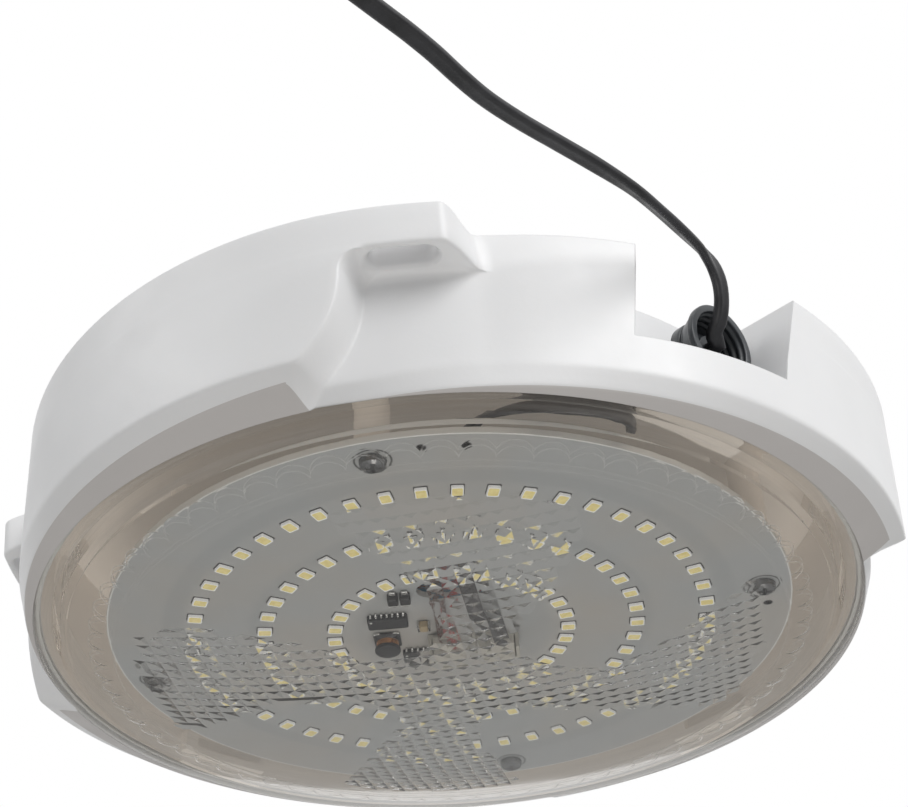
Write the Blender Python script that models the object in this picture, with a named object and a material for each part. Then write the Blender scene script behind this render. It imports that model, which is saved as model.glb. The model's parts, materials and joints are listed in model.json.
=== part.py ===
"""Solar ceiling light: a white pinwheel drum, a clear cover that twists on, an LED board, a battery
and a socket for the lead of a solar panel. Metres, +Z up. The origin is the centre of the drum's
ceiling face, and the light hangs down from it."""

import math

import bmesh
import bpy
from mathutils import Matrix, Vector

# Gaps
touch_gap = 0.0003
cut_overrun = 0.002
sink = 0.0012
face_offset = 0.0002

# Levels, as drops below the ceiling face
board_drop = 0.038
rim_drop = 0.0411
roof_thickness = 0.003

# Drum outline: each quarter is a skirt that grows outwards up to the next ear
ears = 4
quarter = 360 / ears
first_ear_angle = -90
outer_radius = 0.1147
skirt_depth = 0.0107
skirt_start_radius = outer_radius - skirt_depth
skirt_start_turn = 8.5
skirt_full_turn = 81.5
growth_power = 1.5
skirt_parts = 12
wall_draft = 0.002
wall_height_shares = (0.03, 0.09, 0.18, 0.38, 0.6, 0.78, 0.9, 1)

# Cavity, and the rebate at its mouth for the cover's flange
round_sides = 72
drum_wall = 0.004
cavity_radius = skirt_start_radius - drum_wall
rebate_width = 0.0018
rebate_radius = cavity_radius + rebate_width
seat_drop = 0.0379

# Lower edge of the wall, as drops, and the chamfer from it to the cone under the drum
pocket_wall_drop = 0.0370
skirt_start_wall_drop = 0.0351
skirt_full_wall_drop = 0.0365
pocket_chamfer = 0.0015
skirt_start_chamfer = 0.0010
skirt_full_chamfer = 0.0061
chamfer_shares = (0.5, 1)
cone_lip = 0.0004
cone_overlap = 0.0006
cone_radius = rebate_radius - cone_lip
cone_inner_radius = cone_radius - cone_overlap
cone_slope_share = 0.436

# Step at the end of each skirt
step_top_turn = 6.8
step_sweep_turn = 6.8
step_top_drop = 0.015
step_full_drop = 0.0423
step_low_drop = 0.042
step_power = 2.2
step_fillet_turn = 2.2
step_fillet_height = 0.005
step_turns = (0.3, 0.6, 1.0, 1.6)
step_depth_shares = (0.08, 0.5, 0.92, 1)

# Ears and their slots
ear_thickness = 0.0107
ear_edge = 0.0006
ear_flat_turn = 4.2
ear_turns = (-3.5, 0, 3.4, 4.3, 5.1, 6.1, 7.3)
slot_margin = 0.0052
slot_radius = outer_radius - slot_margin
slot_length = 0.0148
slot_width = 0.0056
slot_chamfer = 0.0008
slot_arc_parts = 6

# Hollow behind each skirt, open to the ceiling
shell_wall = 0.0028
hollow_depth = 0.033
hollow_start_turn = 36
hollow_end_turn = 74
hollow_parts = 7

# Cable notch
notch_ear = 0
notch_drop = 0.026
notch_depth = 0.012
notch_back_radius = cavity_radius - notch_depth
notch_top_turns = (27.5, 50.5)
notch_floor_turns = (25.9, 46.5)
notch_wall = 0.0025
notch_parts = 4
notch_wall_parts = 6

# Board, its bosses and screws
board_margin = 0.0155
board_radius = cavity_radius - board_margin
board_thickness = 0.0016
board_screws = 4
board_screw_margin = 0.007
board_screw_radius = board_radius - board_screw_margin
first_board_screw_angle = -98
boss_radius = 0.004
boss_sides = 16
hole_sides = 12
small_hole_sides = 8
pilot_radius = 0.0016
pilot_depth = 0.012
board_hole_radius = 0.0019
probe_hole_radius = 0.0007
probe_hole_margins = (0.0045, 0.0045, 0.0059, 0.0059)
probe_hole_angles = (-90.1, -83.2, -1.2, 178)
wire_slot_length = 0.016
wire_slot_width = 0.007
wire_slot_place = (0.001, -0.021)
screw_shank_radius = 0.0013
screw_length = 0.008
screw_head_radius = 0.0031
screw_head_height = 0.002
screw_crown_shares = ((0.6, 0.08), (0.9, 0.35))
screw_sides = 16
recess_width = 0.0009
recess_length = 0.0034
recess_depth = 0.0011

# Driver parts on the board: centre x, y and size x, y, z
board_parts = {
    "power_inductor": ((-0.0161, 0.0003), (0.0068, 0.0068, 0.0038), 0.0012),
    "driver_chip": ((-0.0098, 0.0080), (0.0062, 0.0050, 0.0016), 0.0003),
    "controller_chip": ((-0.0150, -0.0095), (0.0100, 0.0062, 0.0017), 0.0003),
    "filter_capacitor": ((-0.0065, -0.0060), (0.0032, 0.0026, 0.0019), 0.0003),
    "diode_pair": ((-0.0112, -0.0198), (0.0058, 0.0052, 0.0023), 0.0004),
}
driver_reach = max(
    math.hypot(abs(x) + size[0] / 2, abs(y) + size[1] / 2) for (x, y), size, _ in board_parts.values()
)

# LEDs: size of one, and each ring's count, radius and first angle. The rings go round the driver parts
led_length = 0.0035
led_width = 0.0028
led_height = 0.0007
led_track = 0.0002
ring_clearance = 0.00263172
ring_pitch = 0.0172
inner_ring_radius = driver_reach + ring_clearance
led_rings = {
    "led_ring_outer": (50, inner_ring_radius + 2 * ring_pitch, -84.3),
    "led_ring_middle": (40, inner_ring_radius + ring_pitch, 11.0),
    "led_ring_inner": (30, inner_ring_radius, 1.9),
}

# Clear cover: dome, flange, collar and twist lugs
cover_sides = 60
dome_edge_drop = 0.0412
dome_drop = 0.055
cover_wall = 0.002
flange_radius = rebate_radius - touch_gap
flange_round = 0.0004
dome_edge_radius = flange_radius - flange_round
flange_top_drop = 0.0392
flange_edge = 0.0005
collar_margin = 0.0027
collar_radius = cavity_radius - collar_margin
collar_wall = 0.0019
collar_top_drop = 0.0305
dome_outer_shares = (0.95, 0.86, 0.7, 0.5, 0.28)
dome_inner_shares = (0.86, 0.7, 0.5, 0.28)
lugs = 4
first_lug_angle = -45
lug_half_turn = 6
lug_height = 0.0021
lug_margin = 0.0004
lug_radius = cavity_radius - lug_margin
lug_parts = 4
ledge_height = 0.002
ledge_margin = 0.0004
ledge_radius = collar_radius + ledge_margin
ledge_lead_turn = 7
stop_turn = 2.5
stop_gap_turn = 0.25
stop_height = 0.0032

# Gasket between the cover's flange and its seat
gasket_inner_radius = cavity_radius + touch_gap
gasket_outer_radius = flange_radius - touch_gap

# Connectors on the board
socket_size = (0.0100, 0.0060, 0.0046)
socket_wall = 0.0009
socket_floor = 0.0012
battery_socket_place = (-0.0010, 0.0030)
solar_socket_place = (0.0115, 0.0040)
plug_size = (0.0076, 0.0064, 0.0028)

# Battery: two round cells in a tray under the roof
cell_radius = 0.0092
cell_length = 0.065
cell_button_radius = 0.0032
cell_button_height = 0.0012
cell_edge = 0.0008
cell_sides = 24
cell_spacing = 0.0192
battery_centre_y = 0.012
tray_boss_drop = 0.007
tray_thickness = 0.002
tray_length = 0.088
tray_wall = 0.0016
tray_clip_length = 0.046
tray_clip_lip = 0.0012
tray_clip_height = 0.0024
tray_clip_drop = 0.0055
tray_screw_margin = 0.0045
tray_screw_x = tray_length / 2 - tray_screw_margin
strip_thickness = 0.0004
strip_width = 0.007
strip_margin = 0.004

# Socket cup in the notch and the plug in it
cup_standoff = 0.0005176
cup_turn = -47.66113
cup_drop = 0.013
cup_angle = -46.5
cup_dip = 5
cup_radius = 0.0095
cup_wall = 0.0017
cup_collar = 0.003
cup_bore_depth = 0.0085
cup_shoulder_radius = 0.0048
cup_cone_end = 0.0115
cup_neck_radius = 0.0042
cup_neck_end = 0.0192
cup_sides = 28
cup_ridges = 3
cup_ridge_height = 0.0006
cup_ridge_pitch = 0.0019
cup_ridge_foot = 0.0008
cup_ridge_crest = 0.0003
cup_first_ridge = 0.0016
cup_edge = 0.0004
nut_radius = 0.0058
nut_thickness = 0.0024
nut_flats = 6
nut_flat_parts = 4
plug_body_radius = 0.0052
plug_tail_radius = 0.0034
plug_body_length = 0.003
plug_tail_length = 0.0016

# Leads and wires
curve_steps = 24
cable_width = 0.004
lead_width = 0.003
wire_diameter = 0.0016
outlet_radius = 0.012
outlet_face_radius = 0.006
outlet_shoulder_radius = 0.010
outlet_height = 0.0085
outlet_edge = 0.002
outlet_sides = 32

# The battery's wires: shares of the way out to the strips, their y and z there, then through the slot
wire_lane = 0.0015
wire_out_shares = (1, 0.8, 0.35)
wire_out_route = [
    (-0.0053, -0.0204),
    (-0.0120, -0.0262),
    (-0.0168, -0.0332),
]
wire_slot_route = [
    (-0.0203, -0.0364),
    (-0.0206, -0.0390),
    (-0.0168, -0.0406),
    (-0.0095, -0.0416),
]

# The solar lead, from the plug in the cup to the ceiling fitting
cable_route = [
    (0.06600, -0.07600, -0.01170),
    (0.06720, -0.07840, -0.01040),
    (0.06790, -0.08080, -0.00840),
    (0.06810, -0.08310, -0.00610),
    (0.06770, -0.08550, -0.00420),
    (0.06660, -0.08840, -0.00290),
    (0.06490, -0.09160, -0.00240),
    (0.06280, -0.09540, -0.00230),
    (0.05900, -0.10110, -0.00230),
    (0.05470, -0.10720, -0.00230),
    (0.04890, -0.11480, -0.00230),
    (0.04110, -0.12300, -0.00230),
    (0.03350, -0.13030, -0.00230),
    (0.02620, -0.13730, -0.00230),
    (0.02000, -0.14400, -0.00230),
    (0.01540, -0.15020, -0.00230),
    (0.01110, -0.15660, -0.00230),
    (0.00690, -0.16220, -0.00230),
    (0.00310, -0.16680, -0.00230),
    (-0.00020, -0.17080, -0.00230),
    (-0.00390, -0.17530, -0.00230),
]
cable_end = Vector((-0.00770, -0.17990, -0.00230))

# The inner lead, from the socket's neck over the board's edge to the wire slot
lead_route = [
    (0.04700, -0.06400, -0.02000),
    (0.04550, -0.06720, -0.02700),
    (0.04550, -0.07100, -0.03150),
    (0.04550, -0.07520, -0.03350),
    (0.04400, -0.07900, -0.03450),
    (0.04050, -0.08220, -0.03450),
    (0.03500, -0.08430, -0.03450),
    (0.02800, -0.08480, -0.03370),
    (0.02000, -0.08330, -0.03240),
    (0.01300, -0.07900, -0.03130),
    (0.00850, -0.07100, -0.03060),
    (0.00650, -0.06100, -0.03040),
    (0.00600, -0.05000, -0.03040),
    (0.00600, -0.04000, -0.03040),
    (0.00600, -0.03200, -0.03080),
    (0.00600, -0.02650, -0.03220),
    (0.00600, -0.02300, -0.03450),
    (0.00600, -0.02110, -0.03740),
    (0.00650, -0.01920, -0.04010),
    (0.00790, -0.01550, -0.04180),
    (0.00960, -0.01080, -0.04170),
    (0.01090, -0.00620, -0.04140),
]

# Colour, roughness, metallic and alpha of each material
colours = {
    "white_plastic": ((0.84, 0.84, 0.85), 0.32, 0, 1),
    "clear_plastic": ((0.78, 0.80, 0.80), 0.08, 0, 0.35),
    "seal_rubber": ((0.62, 0.62, 0.60), 0.7, 0, 1),
    "board_grey": ((0.42, 0.44, 0.44), 0.45, 0.2, 1),
    "led_yellow": ((0.86, 0.78, 0.34), 0.35, 0, 1),
    "screw_steel": ((0.55, 0.55, 0.54), 0.3, 1, 1),
    "black_plastic": ((0.03, 0.03, 0.033), 0.4, 0, 1),
    "chip_black": ((0.05, 0.05, 0.055), 0.5, 0, 1),
    "capacitor_tan": ((0.50, 0.42, 0.28), 0.5, 0, 1),
    "connector_white": ((0.80, 0.78, 0.72), 0.45, 0, 1),
    "wire_red": ((0.45, 0.06, 0.05), 0.45, 0, 1),
    "wire_brown": ((0.14, 0.07, 0.06), 0.45, 0, 1),
    "cell_wrap": ((0.10, 0.32, 0.55), 0.35, 0, 1),
    "nickel": ((0.62, 0.61, 0.58), 0.3, 1, 1),
    "tray_white": ((0.74, 0.74, 0.72), 0.5, 0, 1),
    "cable_black": ((0.025, 0.025, 0.028), 0.45, 0, 1),
}


def clear_scene():
    for old in list(bpy.data.objects):
        bpy.data.objects.remove(old, do_unlink=True)


def material_of(slot):
    found = bpy.data.materials.get(slot)
    if found:
        return found
    colour, roughness, metallic, alpha = colours[slot]
    made = bpy.data.materials.new(slot)
    made.use_nodes = True
    shader = made.node_tree.nodes["Principled BSDF"]
    shader.inputs["Base Color"].default_value = (*colour, 1)
    shader.inputs["Roughness"].default_value = roughness
    shader.inputs["Metallic"].default_value = metallic
    shader.inputs["Alpha"].default_value = alpha
    made.diffuse_color = (*colour, alpha)
    return made


def mesh_object(name, shape, slot):
    """An object from a bmesh, facing out, with its round stretches shaded smooth."""
    bmesh.ops.recalc_face_normals(shape, faces=shape.faces)
    mesh = bpy.data.meshes.new(name)
    shape.to_mesh(mesh)
    shape.free()
    mesh.shade_smooth()
    mesh.set_sharp_from_angle(angle=math.radians(35))
    mesh.materials.append(material_of(slot))
    made = bpy.data.objects.new(name, mesh)
    bpy.context.scene.collection.objects.link(made)
    return made


def cutter(name, shape):
    """A helper solid that is left out of the model."""
    made = mesh_object(name, shape, "white_plastic")
    made.hide_render = True
    made.display_type = "WIRE"
    return made


def combine(target, other, operation):
    step = target.modifiers.new(other.name, "BOOLEAN")
    step.operation = operation
    step.solver = "EXACT"
    step.object = other


def polar(radius, angle, z=0.0):
    turn = math.radians(angle)
    return Vector((radius * math.cos(turn), radius * math.sin(turn), z))


def join_rings(shape, rings, closed=False):
    """Side faces between rings of vertices of one length, first to last if closed."""
    pairs = list(zip(rings, rings[1:]))
    if closed:
        pairs.append((rings[-1], rings[0]))
    for lower, upper in pairs:
        for i in range(len(lower)):
            j = (i + 1) % len(lower)
            corners = [lower[i], lower[j], upper[j], upper[i]]
            shape.faces.new(corners)


def loft(rings):
    """A solid through rings of points, with a flat face at each end."""
    shape = bmesh.new()
    made = [[shape.verts.new(point) for point in ring] for ring in rings]
    join_rings(shape, made)
    shape.faces.new(made[0])
    shape.faces.new(made[-1])
    return shape


def turned(profile, sides, place=None):
    """A solid of revolution about Z from (radius, z) points. A zero radius ends it on the axis."""
    shape = bmesh.new()
    rings = []
    for radius, z in profile:
        if radius == 0:
            rings.append([shape.verts.new((0, 0, z))])
            continue
        points = [polar(radius, 360 * i / sides, z) for i in range(sides)]
        rings.append([shape.verts.new(point) for point in points])
    pairs = list(zip(rings, rings[1:]))
    if profile[0][0] != 0:
        pairs.append((rings[-1], rings[0]))
    for first, second in pairs:
        for i in range(sides):
            j = (i + 1) % sides
            if len(first) == 1:
                shape.faces.new([first[0], second[j], second[i]])
            elif len(second) == 1:
                shape.faces.new([first[i], first[j], second[0]])
            else:
                shape.faces.new([first[i], first[j], second[j], second[i]])
    if place:
        bmesh.ops.transform(shape, matrix=place, verts=shape.verts)
    return shape


def rod(radius, low, high, sides, x=0.0, y=0.0):
    """An upright cylinder."""
    profile = [(0, low), (radius, low), (radius, high), (0, high)]
    return turned(profile, sides, Matrix.Translation((x, y, 0)))


def block(centre, size):
    """A box from its centre and size."""
    shape = bmesh.new()
    bmesh.ops.create_cube(shape, size=1)
    place = Matrix.Translation(centre) @ Matrix.Diagonal((*size, 1))
    bmesh.ops.transform(shape, matrix=place, verts=shape.verts)
    return shape


def rounded_block(centre, size, corner, parts=3):
    """An upright box whose four standing edges are round."""
    outline = []
    half_x = size[0] / 2 - corner
    half_y = size[1] / 2 - corner
    for side, (sign_x, sign_y) in enumerate(((1, 1), (-1, 1), (-1, -1), (1, -1))):
        for i in range(parts + 1):
            offset = polar(corner, 90 * side + 90 * i / parts)
            outline.append(Vector((sign_x * half_x, sign_y * half_y, 0)) + offset)
    rise = Vector((0, 0, size[2] / 2))
    middle = Vector(centre)
    return loft([[middle + p - rise for p in outline], [middle + p + rise for p in outline]])


def sector(inner, outer, start, end, low, high, parts):
    """A block between two radii and two angles."""
    outline = [polar(inner, start + (end - start) * i / parts) for i in range(parts + 1)]
    outline += [polar(outer, end + (start - end) * i / parts) for i in range(parts + 1)]
    rings = [[point + Vector((0, 0, z)) for point in outline] for z in (low, high)]
    return loft(rings)


def stadium(length, width, parts):
    """Outline of a slot along Y, centred on the origin."""
    reach = (length - width) / 2
    points = []
    for end, first in ((1, 0), (-1, 180)):
        for i in range(parts + 1):
            points.append(polar(width / 2, first + 180 * i / parts) + Vector((0, end * reach, 0)))
    return points


def gathered(shapes):
    """Several shapes in one bmesh."""
    whole = bmesh.new()
    for shape in shapes:
        bmesh.ops.recalc_face_normals(shape, faces=shape.faces)
        mesh = bpy.data.meshes.new("part_of_group")
        shape.to_mesh(mesh)
        shape.free()
        whole.from_mesh(mesh)
        bpy.data.meshes.remove(mesh)
    return whole


def between(low, high, share):
    return low + (high - low) * share


def eased(value):
    value = min(1, max(0, value))
    return 1 - (1 - value) ** growth_power


def smooth_share(value):
    value = min(1, max(0, value))
    return value * value * (3 - 2 * value)


def skirt_growth(turn):
    """How far a skirt has grown outwards. The turn is in degrees past an ear, and negative before it."""
    return eased((turn - skirt_start_turn) / (skirt_full_turn - skirt_start_turn))


def pocket_share(turn):
    """From 0 where a skirt ends before the ear to 1 where the next skirt starts."""
    return smooth_share((turn + step_top_turn) / (skirt_start_turn + step_top_turn))


def wall_radius(turn, drop):
    grown = skirt_growth(turn)
    top = between(skirt_start_radius, outer_radius, grown)
    return top - wall_draft * grown * min(1, drop / board_drop)


def wall_end_drop(turn):
    """Drop of the wall's lower edge."""
    first = between(pocket_wall_drop, skirt_start_wall_drop, pocket_share(turn))
    return between(first, skirt_full_wall_drop, skirt_growth(turn))


def chamfer_run(turn):
    first = between(pocket_chamfer, skirt_start_chamfer, pocket_share(turn))
    return between(first, skirt_full_chamfer, math.sqrt(skirt_growth(turn)))


def cone_drop(radius):
    """Drop of the cone under the drum, which rises outwards."""
    return rim_drop - cone_slope_share * (radius - cone_radius)


def ear_radius(turn, drop):
    """Radius of an ear's edge. It curves in to the wall past its flat turn."""
    grown = smooth_share((turn - ear_flat_turn) / (skirt_start_turn - ear_flat_turn))
    return max(between(outer_radius, skirt_start_radius, grown), wall_radius(turn, drop))


def step_turn(drop):
    """Turn past one ear at which the skirt before the next ear ends, with a fillet under that ear."""
    share = max(0, (drop - step_top_drop) / (step_full_drop - step_top_drop))
    rise = min(1, max(0, (ear_thickness + step_fillet_height - drop) / step_fillet_height))
    fillet = step_fillet_turn * (1 - math.sqrt(1 - rise * rise))
    return quarter - step_top_turn + fillet - step_sweep_turn * share**step_power


def wall_point(turn, height, chamfer):
    """Radius and drop of a point that far down the wall, or down the chamfer below it, as shares."""
    drop = between(ear_thickness, wall_end_drop(turn), height)
    radius = wall_radius(turn, drop)
    low_radius = radius - chamfer_run(turn)
    return between(radius, low_radius, chamfer), between(drop, cone_drop(low_radius), chamfer)


def drum_turns(step):
    """Turns past an ear along one quarter: the skirt, then the step and the next ear with their depth."""
    skirt = [between(skirt_start_turn, step, i / (skirt_parts - 1)) for i in range(skirt_parts)]
    zone = [(step + extra - quarter, depth) for extra, depth in zip(step_turns, step_depth_shares)]
    last = zone[-1][0]
    kept = [turn for turn in ear_turns if turn > last]
    shortfall = len(ear_turns) - len(kept)
    zone += [(between(last, kept[0], (i + 1) / (shortfall + 1)), 1) for i in range(shortfall)]
    zone += [(turn, 1) for turn in kept]
    return skirt, zone


def drum_outline(height, chamfer=0):
    """Angle, radius and drop along the drum's wall at one level, and how far an ear stands over it."""
    points = []
    nominal = between(between(ear_thickness, board_drop, height), step_low_drop, chamfer)
    step = step_turn(nominal)
    skirt, zone = drum_turns(step)
    edge_radius, edge_drop = wall_point(step, height, chamfer)
    for ear in range(ears):
        start = first_ear_angle + quarter * ear
        for turn in skirt:
            radius, drop = wall_point(turn, height, chamfer)
            points.append((start + turn, radius, drop, 0))
        for turn, depth in zone:
            radius, drop = wall_point(turn, height, chamfer)
            radius = between(edge_radius, radius, depth)
            drop = between(edge_drop, drop, depth)
            over = min(1, (ear_radius(turn, drop) - radius) / ear_edge)
            points.append((start + quarter + turn, radius, drop, over))
    return points


def ear_outline(drop):
    """Angle and radius round the drum at the level of its ears."""
    points = []
    skirt, zone = drum_turns(step_turn(0))
    for ear in range(ears):
        start = first_ear_angle + quarter * ear
        points += [(start + turn, wall_radius(turn, drop)) for turn in skirt]
        points += [(start + quarter + turn, ear_radius(turn, drop)) for turn, _ in zone]
    return points


def drum_shape():
    rings = []
    for drop in (0, ear_thickness):
        rings.append([polar(radius, angle, -drop) for angle, radius in ear_outline(drop)])
    under = drum_outline(0)
    rings.append([polar(radius, angle, -drop - ear_edge * (1 - over)) for angle, radius, drop, over in under])
    for share in wall_height_shares:
        rings.append([polar(radius, angle, -drop) for angle, radius, drop, _ in drum_outline(share)])
    for share in chamfer_shares:
        low = drum_outline(1, share)
        rings.append([polar(radius, angle, -drop) for angle, radius, drop, _ in low])
    rings.append([polar(cone_inner_radius, angle, -cone_drop(cone_inner_radius)) for angle, _, _, _ in low])
    shape = loft(rings)
    bmesh.ops.triangulate(shape, faces=shape.faces)
    return shape


def cavity_shape():
    roof = -roof_thickness
    seat = -seat_drop
    mouth = -rim_drop - cut_overrun
    profile = [(0, roof), (cavity_radius, roof), (cavity_radius, seat)]
    profile += [(rebate_radius, seat), (rebate_radius, mouth), (0, mouth)]
    return turned(profile, round_sides)


def notch_angles(turns, drop):
    """The notch's two side angles at a drop, from those at the ceiling and at its floor."""
    start = first_ear_angle + quarter * notch_ear
    return [start + between(top, floor, drop / notch_drop) for top, floor in zip(*turns)]


def notch_shape():
    rings = []
    reach = outer_radius + cut_overrun
    for drop in (-cut_overrun, notch_drop):
        left, right = notch_angles((notch_top_turns, notch_floor_turns), drop)
        turns = [between(left, right, i / notch_parts) for i in range(notch_parts + 1)]
        outline = [polar(notch_back_radius, turn, -drop) for turn in turns]
        outline += [polar(reach, turn, -drop) for turn in reversed(turns)]
        rings.append(outline)
    return loft(rings)


def notch_housing():
    """The walls that carry the notch through the cavity."""
    left, right = notch_angles((notch_top_turns, notch_floor_turns), 0)
    floor_left = notch_angles((notch_top_turns, notch_floor_turns), notch_drop)[0]
    spread = math.degrees(notch_wall / notch_back_radius)
    inner = notch_back_radius - notch_wall
    outer = cavity_radius + sink
    low = -(notch_drop + notch_wall)
    first = min(left, floor_left) - spread
    return sector(inner, outer, first, right + spread, low, -roof_thickness + sink, notch_wall_parts)


def hollow_shape(ear):
    """The hollow behind one skirt, from the ceiling face down."""
    start = first_ear_angle + quarter * ear
    first = hollow_start_turn
    if ear == notch_ear:
        first = notch_top_turns[1] + math.degrees(2 * shell_wall / notch_back_radius)
    inner = cavity_radius + shell_wall
    turns = [between(first, hollow_end_turn, i / hollow_parts) for i in range(hollow_parts + 1)]
    outline = [polar(inner, start + turn) for turn in turns]
    outline += [polar(wall_radius(turn, hollow_depth) - shell_wall, start + turn) for turn in reversed(turns)]
    levels = (cut_overrun, -hollow_depth)
    return loft([[point + Vector((0, 0, z)) for point in outline] for z in levels])


def slot_shape(ear):
    place = Matrix.Rotation(math.radians(first_ear_angle + quarter * ear), 4, "Z")
    place = place @ Matrix.Translation((slot_radius, 0, 0))
    narrow = stadium(slot_length, slot_width, slot_arc_parts)
    grow = 2 * slot_chamfer
    wide = stadium(slot_length + grow, slot_width + grow, slot_arc_parts)
    levels = [(narrow, cut_overrun), (narrow, slot_chamfer - ear_thickness)]
    levels += [(wide, -ear_thickness - touch_gap), (wide, -ear_thickness - cut_overrun)]
    return loft([[place @ (point + Vector((0, 0, z))) for point in outline] for outline, z in levels])


def screw_places():
    step = 360 / board_screws
    return [polar(board_screw_radius, first_board_screw_angle + step * i) for i in range(board_screws)]


def tray_screw_places():
    return [Vector((side * tray_screw_x, battery_centre_y, 0)) for side in (-1, 1)]


def lug_angles():
    return [first_lug_angle + 360 / lugs * i for i in range(lugs)]


def ledge_shapes():
    """The ledges that the cover's lugs sit on, each with its stop."""
    made = []
    top = -(collar_top_drop + lug_height + touch_gap)
    low = top - ledge_height
    for angle in lug_angles():
        stop_start = angle + lug_half_turn + stop_gap_turn
        end = stop_start + stop_turn
        outer = cavity_radius + sink
        made.append(sector(ledge_radius, outer, angle - ledge_lead_turn, end, low, top, lug_parts))
        made.append(sector(ledge_radius, outer, stop_start, end, low + face_offset, top + stop_height, 2))
    return made


def make_housing():
    housing = mesh_object("housing", drum_shape(), "white_plastic")
    combine(housing, cutter("cavity", cavity_shape()), "DIFFERENCE")
    combine(housing, cutter("notch_walls", notch_housing()), "UNION")
    bosses = []
    boss_end = -(board_drop - board_thickness - touch_gap)
    top = -roof_thickness + sink
    for place in screw_places():
        bosses.append(rod(boss_radius, boss_end, top, boss_sides, place.x, place.y))
    for place in tray_screw_places():
        bosses.append(rod(boss_radius, -tray_boss_drop, top, boss_sides, place.x, place.y))
    combine(housing, cutter("bosses", gathered(bosses)), "UNION")
    shelves = ledge_shapes()
    combine(housing, cutter("ledges", gathered(shelves[0::2])), "UNION")
    combine(housing, cutter("ledge_stops", gathered(shelves[1::2])), "UNION")
    hole = cup_neck_radius + touch_gap
    neck = [(0, -cup_neck_end), (hole, -cup_neck_end), (hole, -cup_cone_end), (0, -cup_cone_end)]
    combine(housing, cutter("neck_hole", turned(neck, cup_sides, cup_place())), "DIFFERENCE")
    cuts = [notch_shape()]
    cuts += [hollow_shape(ear) for ear in range(ears)]
    cuts += [slot_shape(ear) for ear in range(ears)]
    for place in screw_places():
        low = boss_end - cut_overrun
        high = boss_end + pilot_depth
        cuts.append(rod(pilot_radius, low, high, hole_sides, place.x, place.y))
    for place in tray_screw_places():
        low = -tray_boss_drop - cut_overrun
        high = -roof_thickness / 2
        cuts.append(rod(pilot_radius, low, high, hole_sides, place.x, place.y))
    combine(housing, cutter("openings", gathered(cuts)), "DIFFERENCE")
    return housing


def dome_drop_at(radius, offset):
    """Drop of the dome's outside, or of a surface that far inside it, at a radius."""
    rise = dome_drop - dome_edge_drop
    sphere = (dome_edge_radius**2 + rise**2) / (2 * rise)
    return dome_drop - sphere + math.sqrt((sphere - offset) ** 2 - radius**2)


def cover_shape():
    inner_radius = collar_radius - collar_wall
    profile = [(0, -dome_drop)]
    for share in reversed(dome_outer_shares):
        radius = dome_edge_radius * share
        profile.append((radius, -dome_drop_at(radius, 0)))
    profile.append((dome_edge_radius, -dome_edge_drop))
    profile.append((flange_radius, -dome_edge_drop + flange_edge))
    profile.append((flange_radius, -flange_top_drop))
    profile.append((collar_radius, -flange_top_drop))
    profile.append((collar_radius, -collar_top_drop))
    profile.append((inner_radius, -collar_top_drop))
    profile.append((inner_radius, -dome_drop_at(inner_radius, cover_wall)))
    for share in dome_inner_shares:
        radius = dome_edge_radius * share
        profile.append((radius, -dome_drop_at(radius, cover_wall)))
    profile.append((0, -dome_drop_at(0, cover_wall)))
    return turned(profile, cover_sides)


def make_cover():
    cover = mesh_object("clear_cover", cover_shape(), "clear_plastic")
    made = []
    high = -(collar_top_drop + touch_gap)
    for angle in lug_angles():
        low = -(collar_top_drop + lug_height)
        inner = collar_radius - collar_wall / 2
        first = angle - lug_half_turn
        last = angle + lug_half_turn
        made.append(sector(inner, lug_radius, first, last, low, high, lug_parts))
    combine(cover, cutter("lugs", gathered(made)), "UNION")
    return cover


def make_gasket():
    top = -(seat_drop + touch_gap)
    bottom = -(flange_top_drop - touch_gap)
    profile = [(gasket_inner_radius, bottom), (gasket_outer_radius, bottom)]
    profile += [(gasket_outer_radius, top), (gasket_inner_radius, top)]
    return mesh_object("cover_gasket", turned(profile, round_sides), "seal_rubber")


def make_board():
    top = -(board_drop - board_thickness)
    bottom = -board_drop
    board = mesh_object("led_board", rod(board_radius, bottom, top, round_sides), "board_grey")
    cuts = []
    low = bottom - cut_overrun
    high = top + cut_overrun
    for place in screw_places():
        cuts.append(rod(board_hole_radius, low, high, hole_sides, place.x, place.y))
    for margin, angle in zip(probe_hole_margins, probe_hole_angles):
        place = polar(board_radius - margin, angle)
        cuts.append(rod(probe_hole_radius, low, high, small_hole_sides, place.x, place.y))
    place = Matrix.Translation((*wire_slot_place, 0)) @ Matrix.Rotation(math.radians(90), 4, "Z")
    outline = stadium(wire_slot_length, wire_slot_width, slot_arc_parts)
    cuts.append(loft([[place @ (point + Vector((0, 0, z))) for point in outline] for z in (low, high)]))
    combine(board, cutter("board_holes", gathered(cuts)), "DIFFERENCE")
    return board


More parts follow.
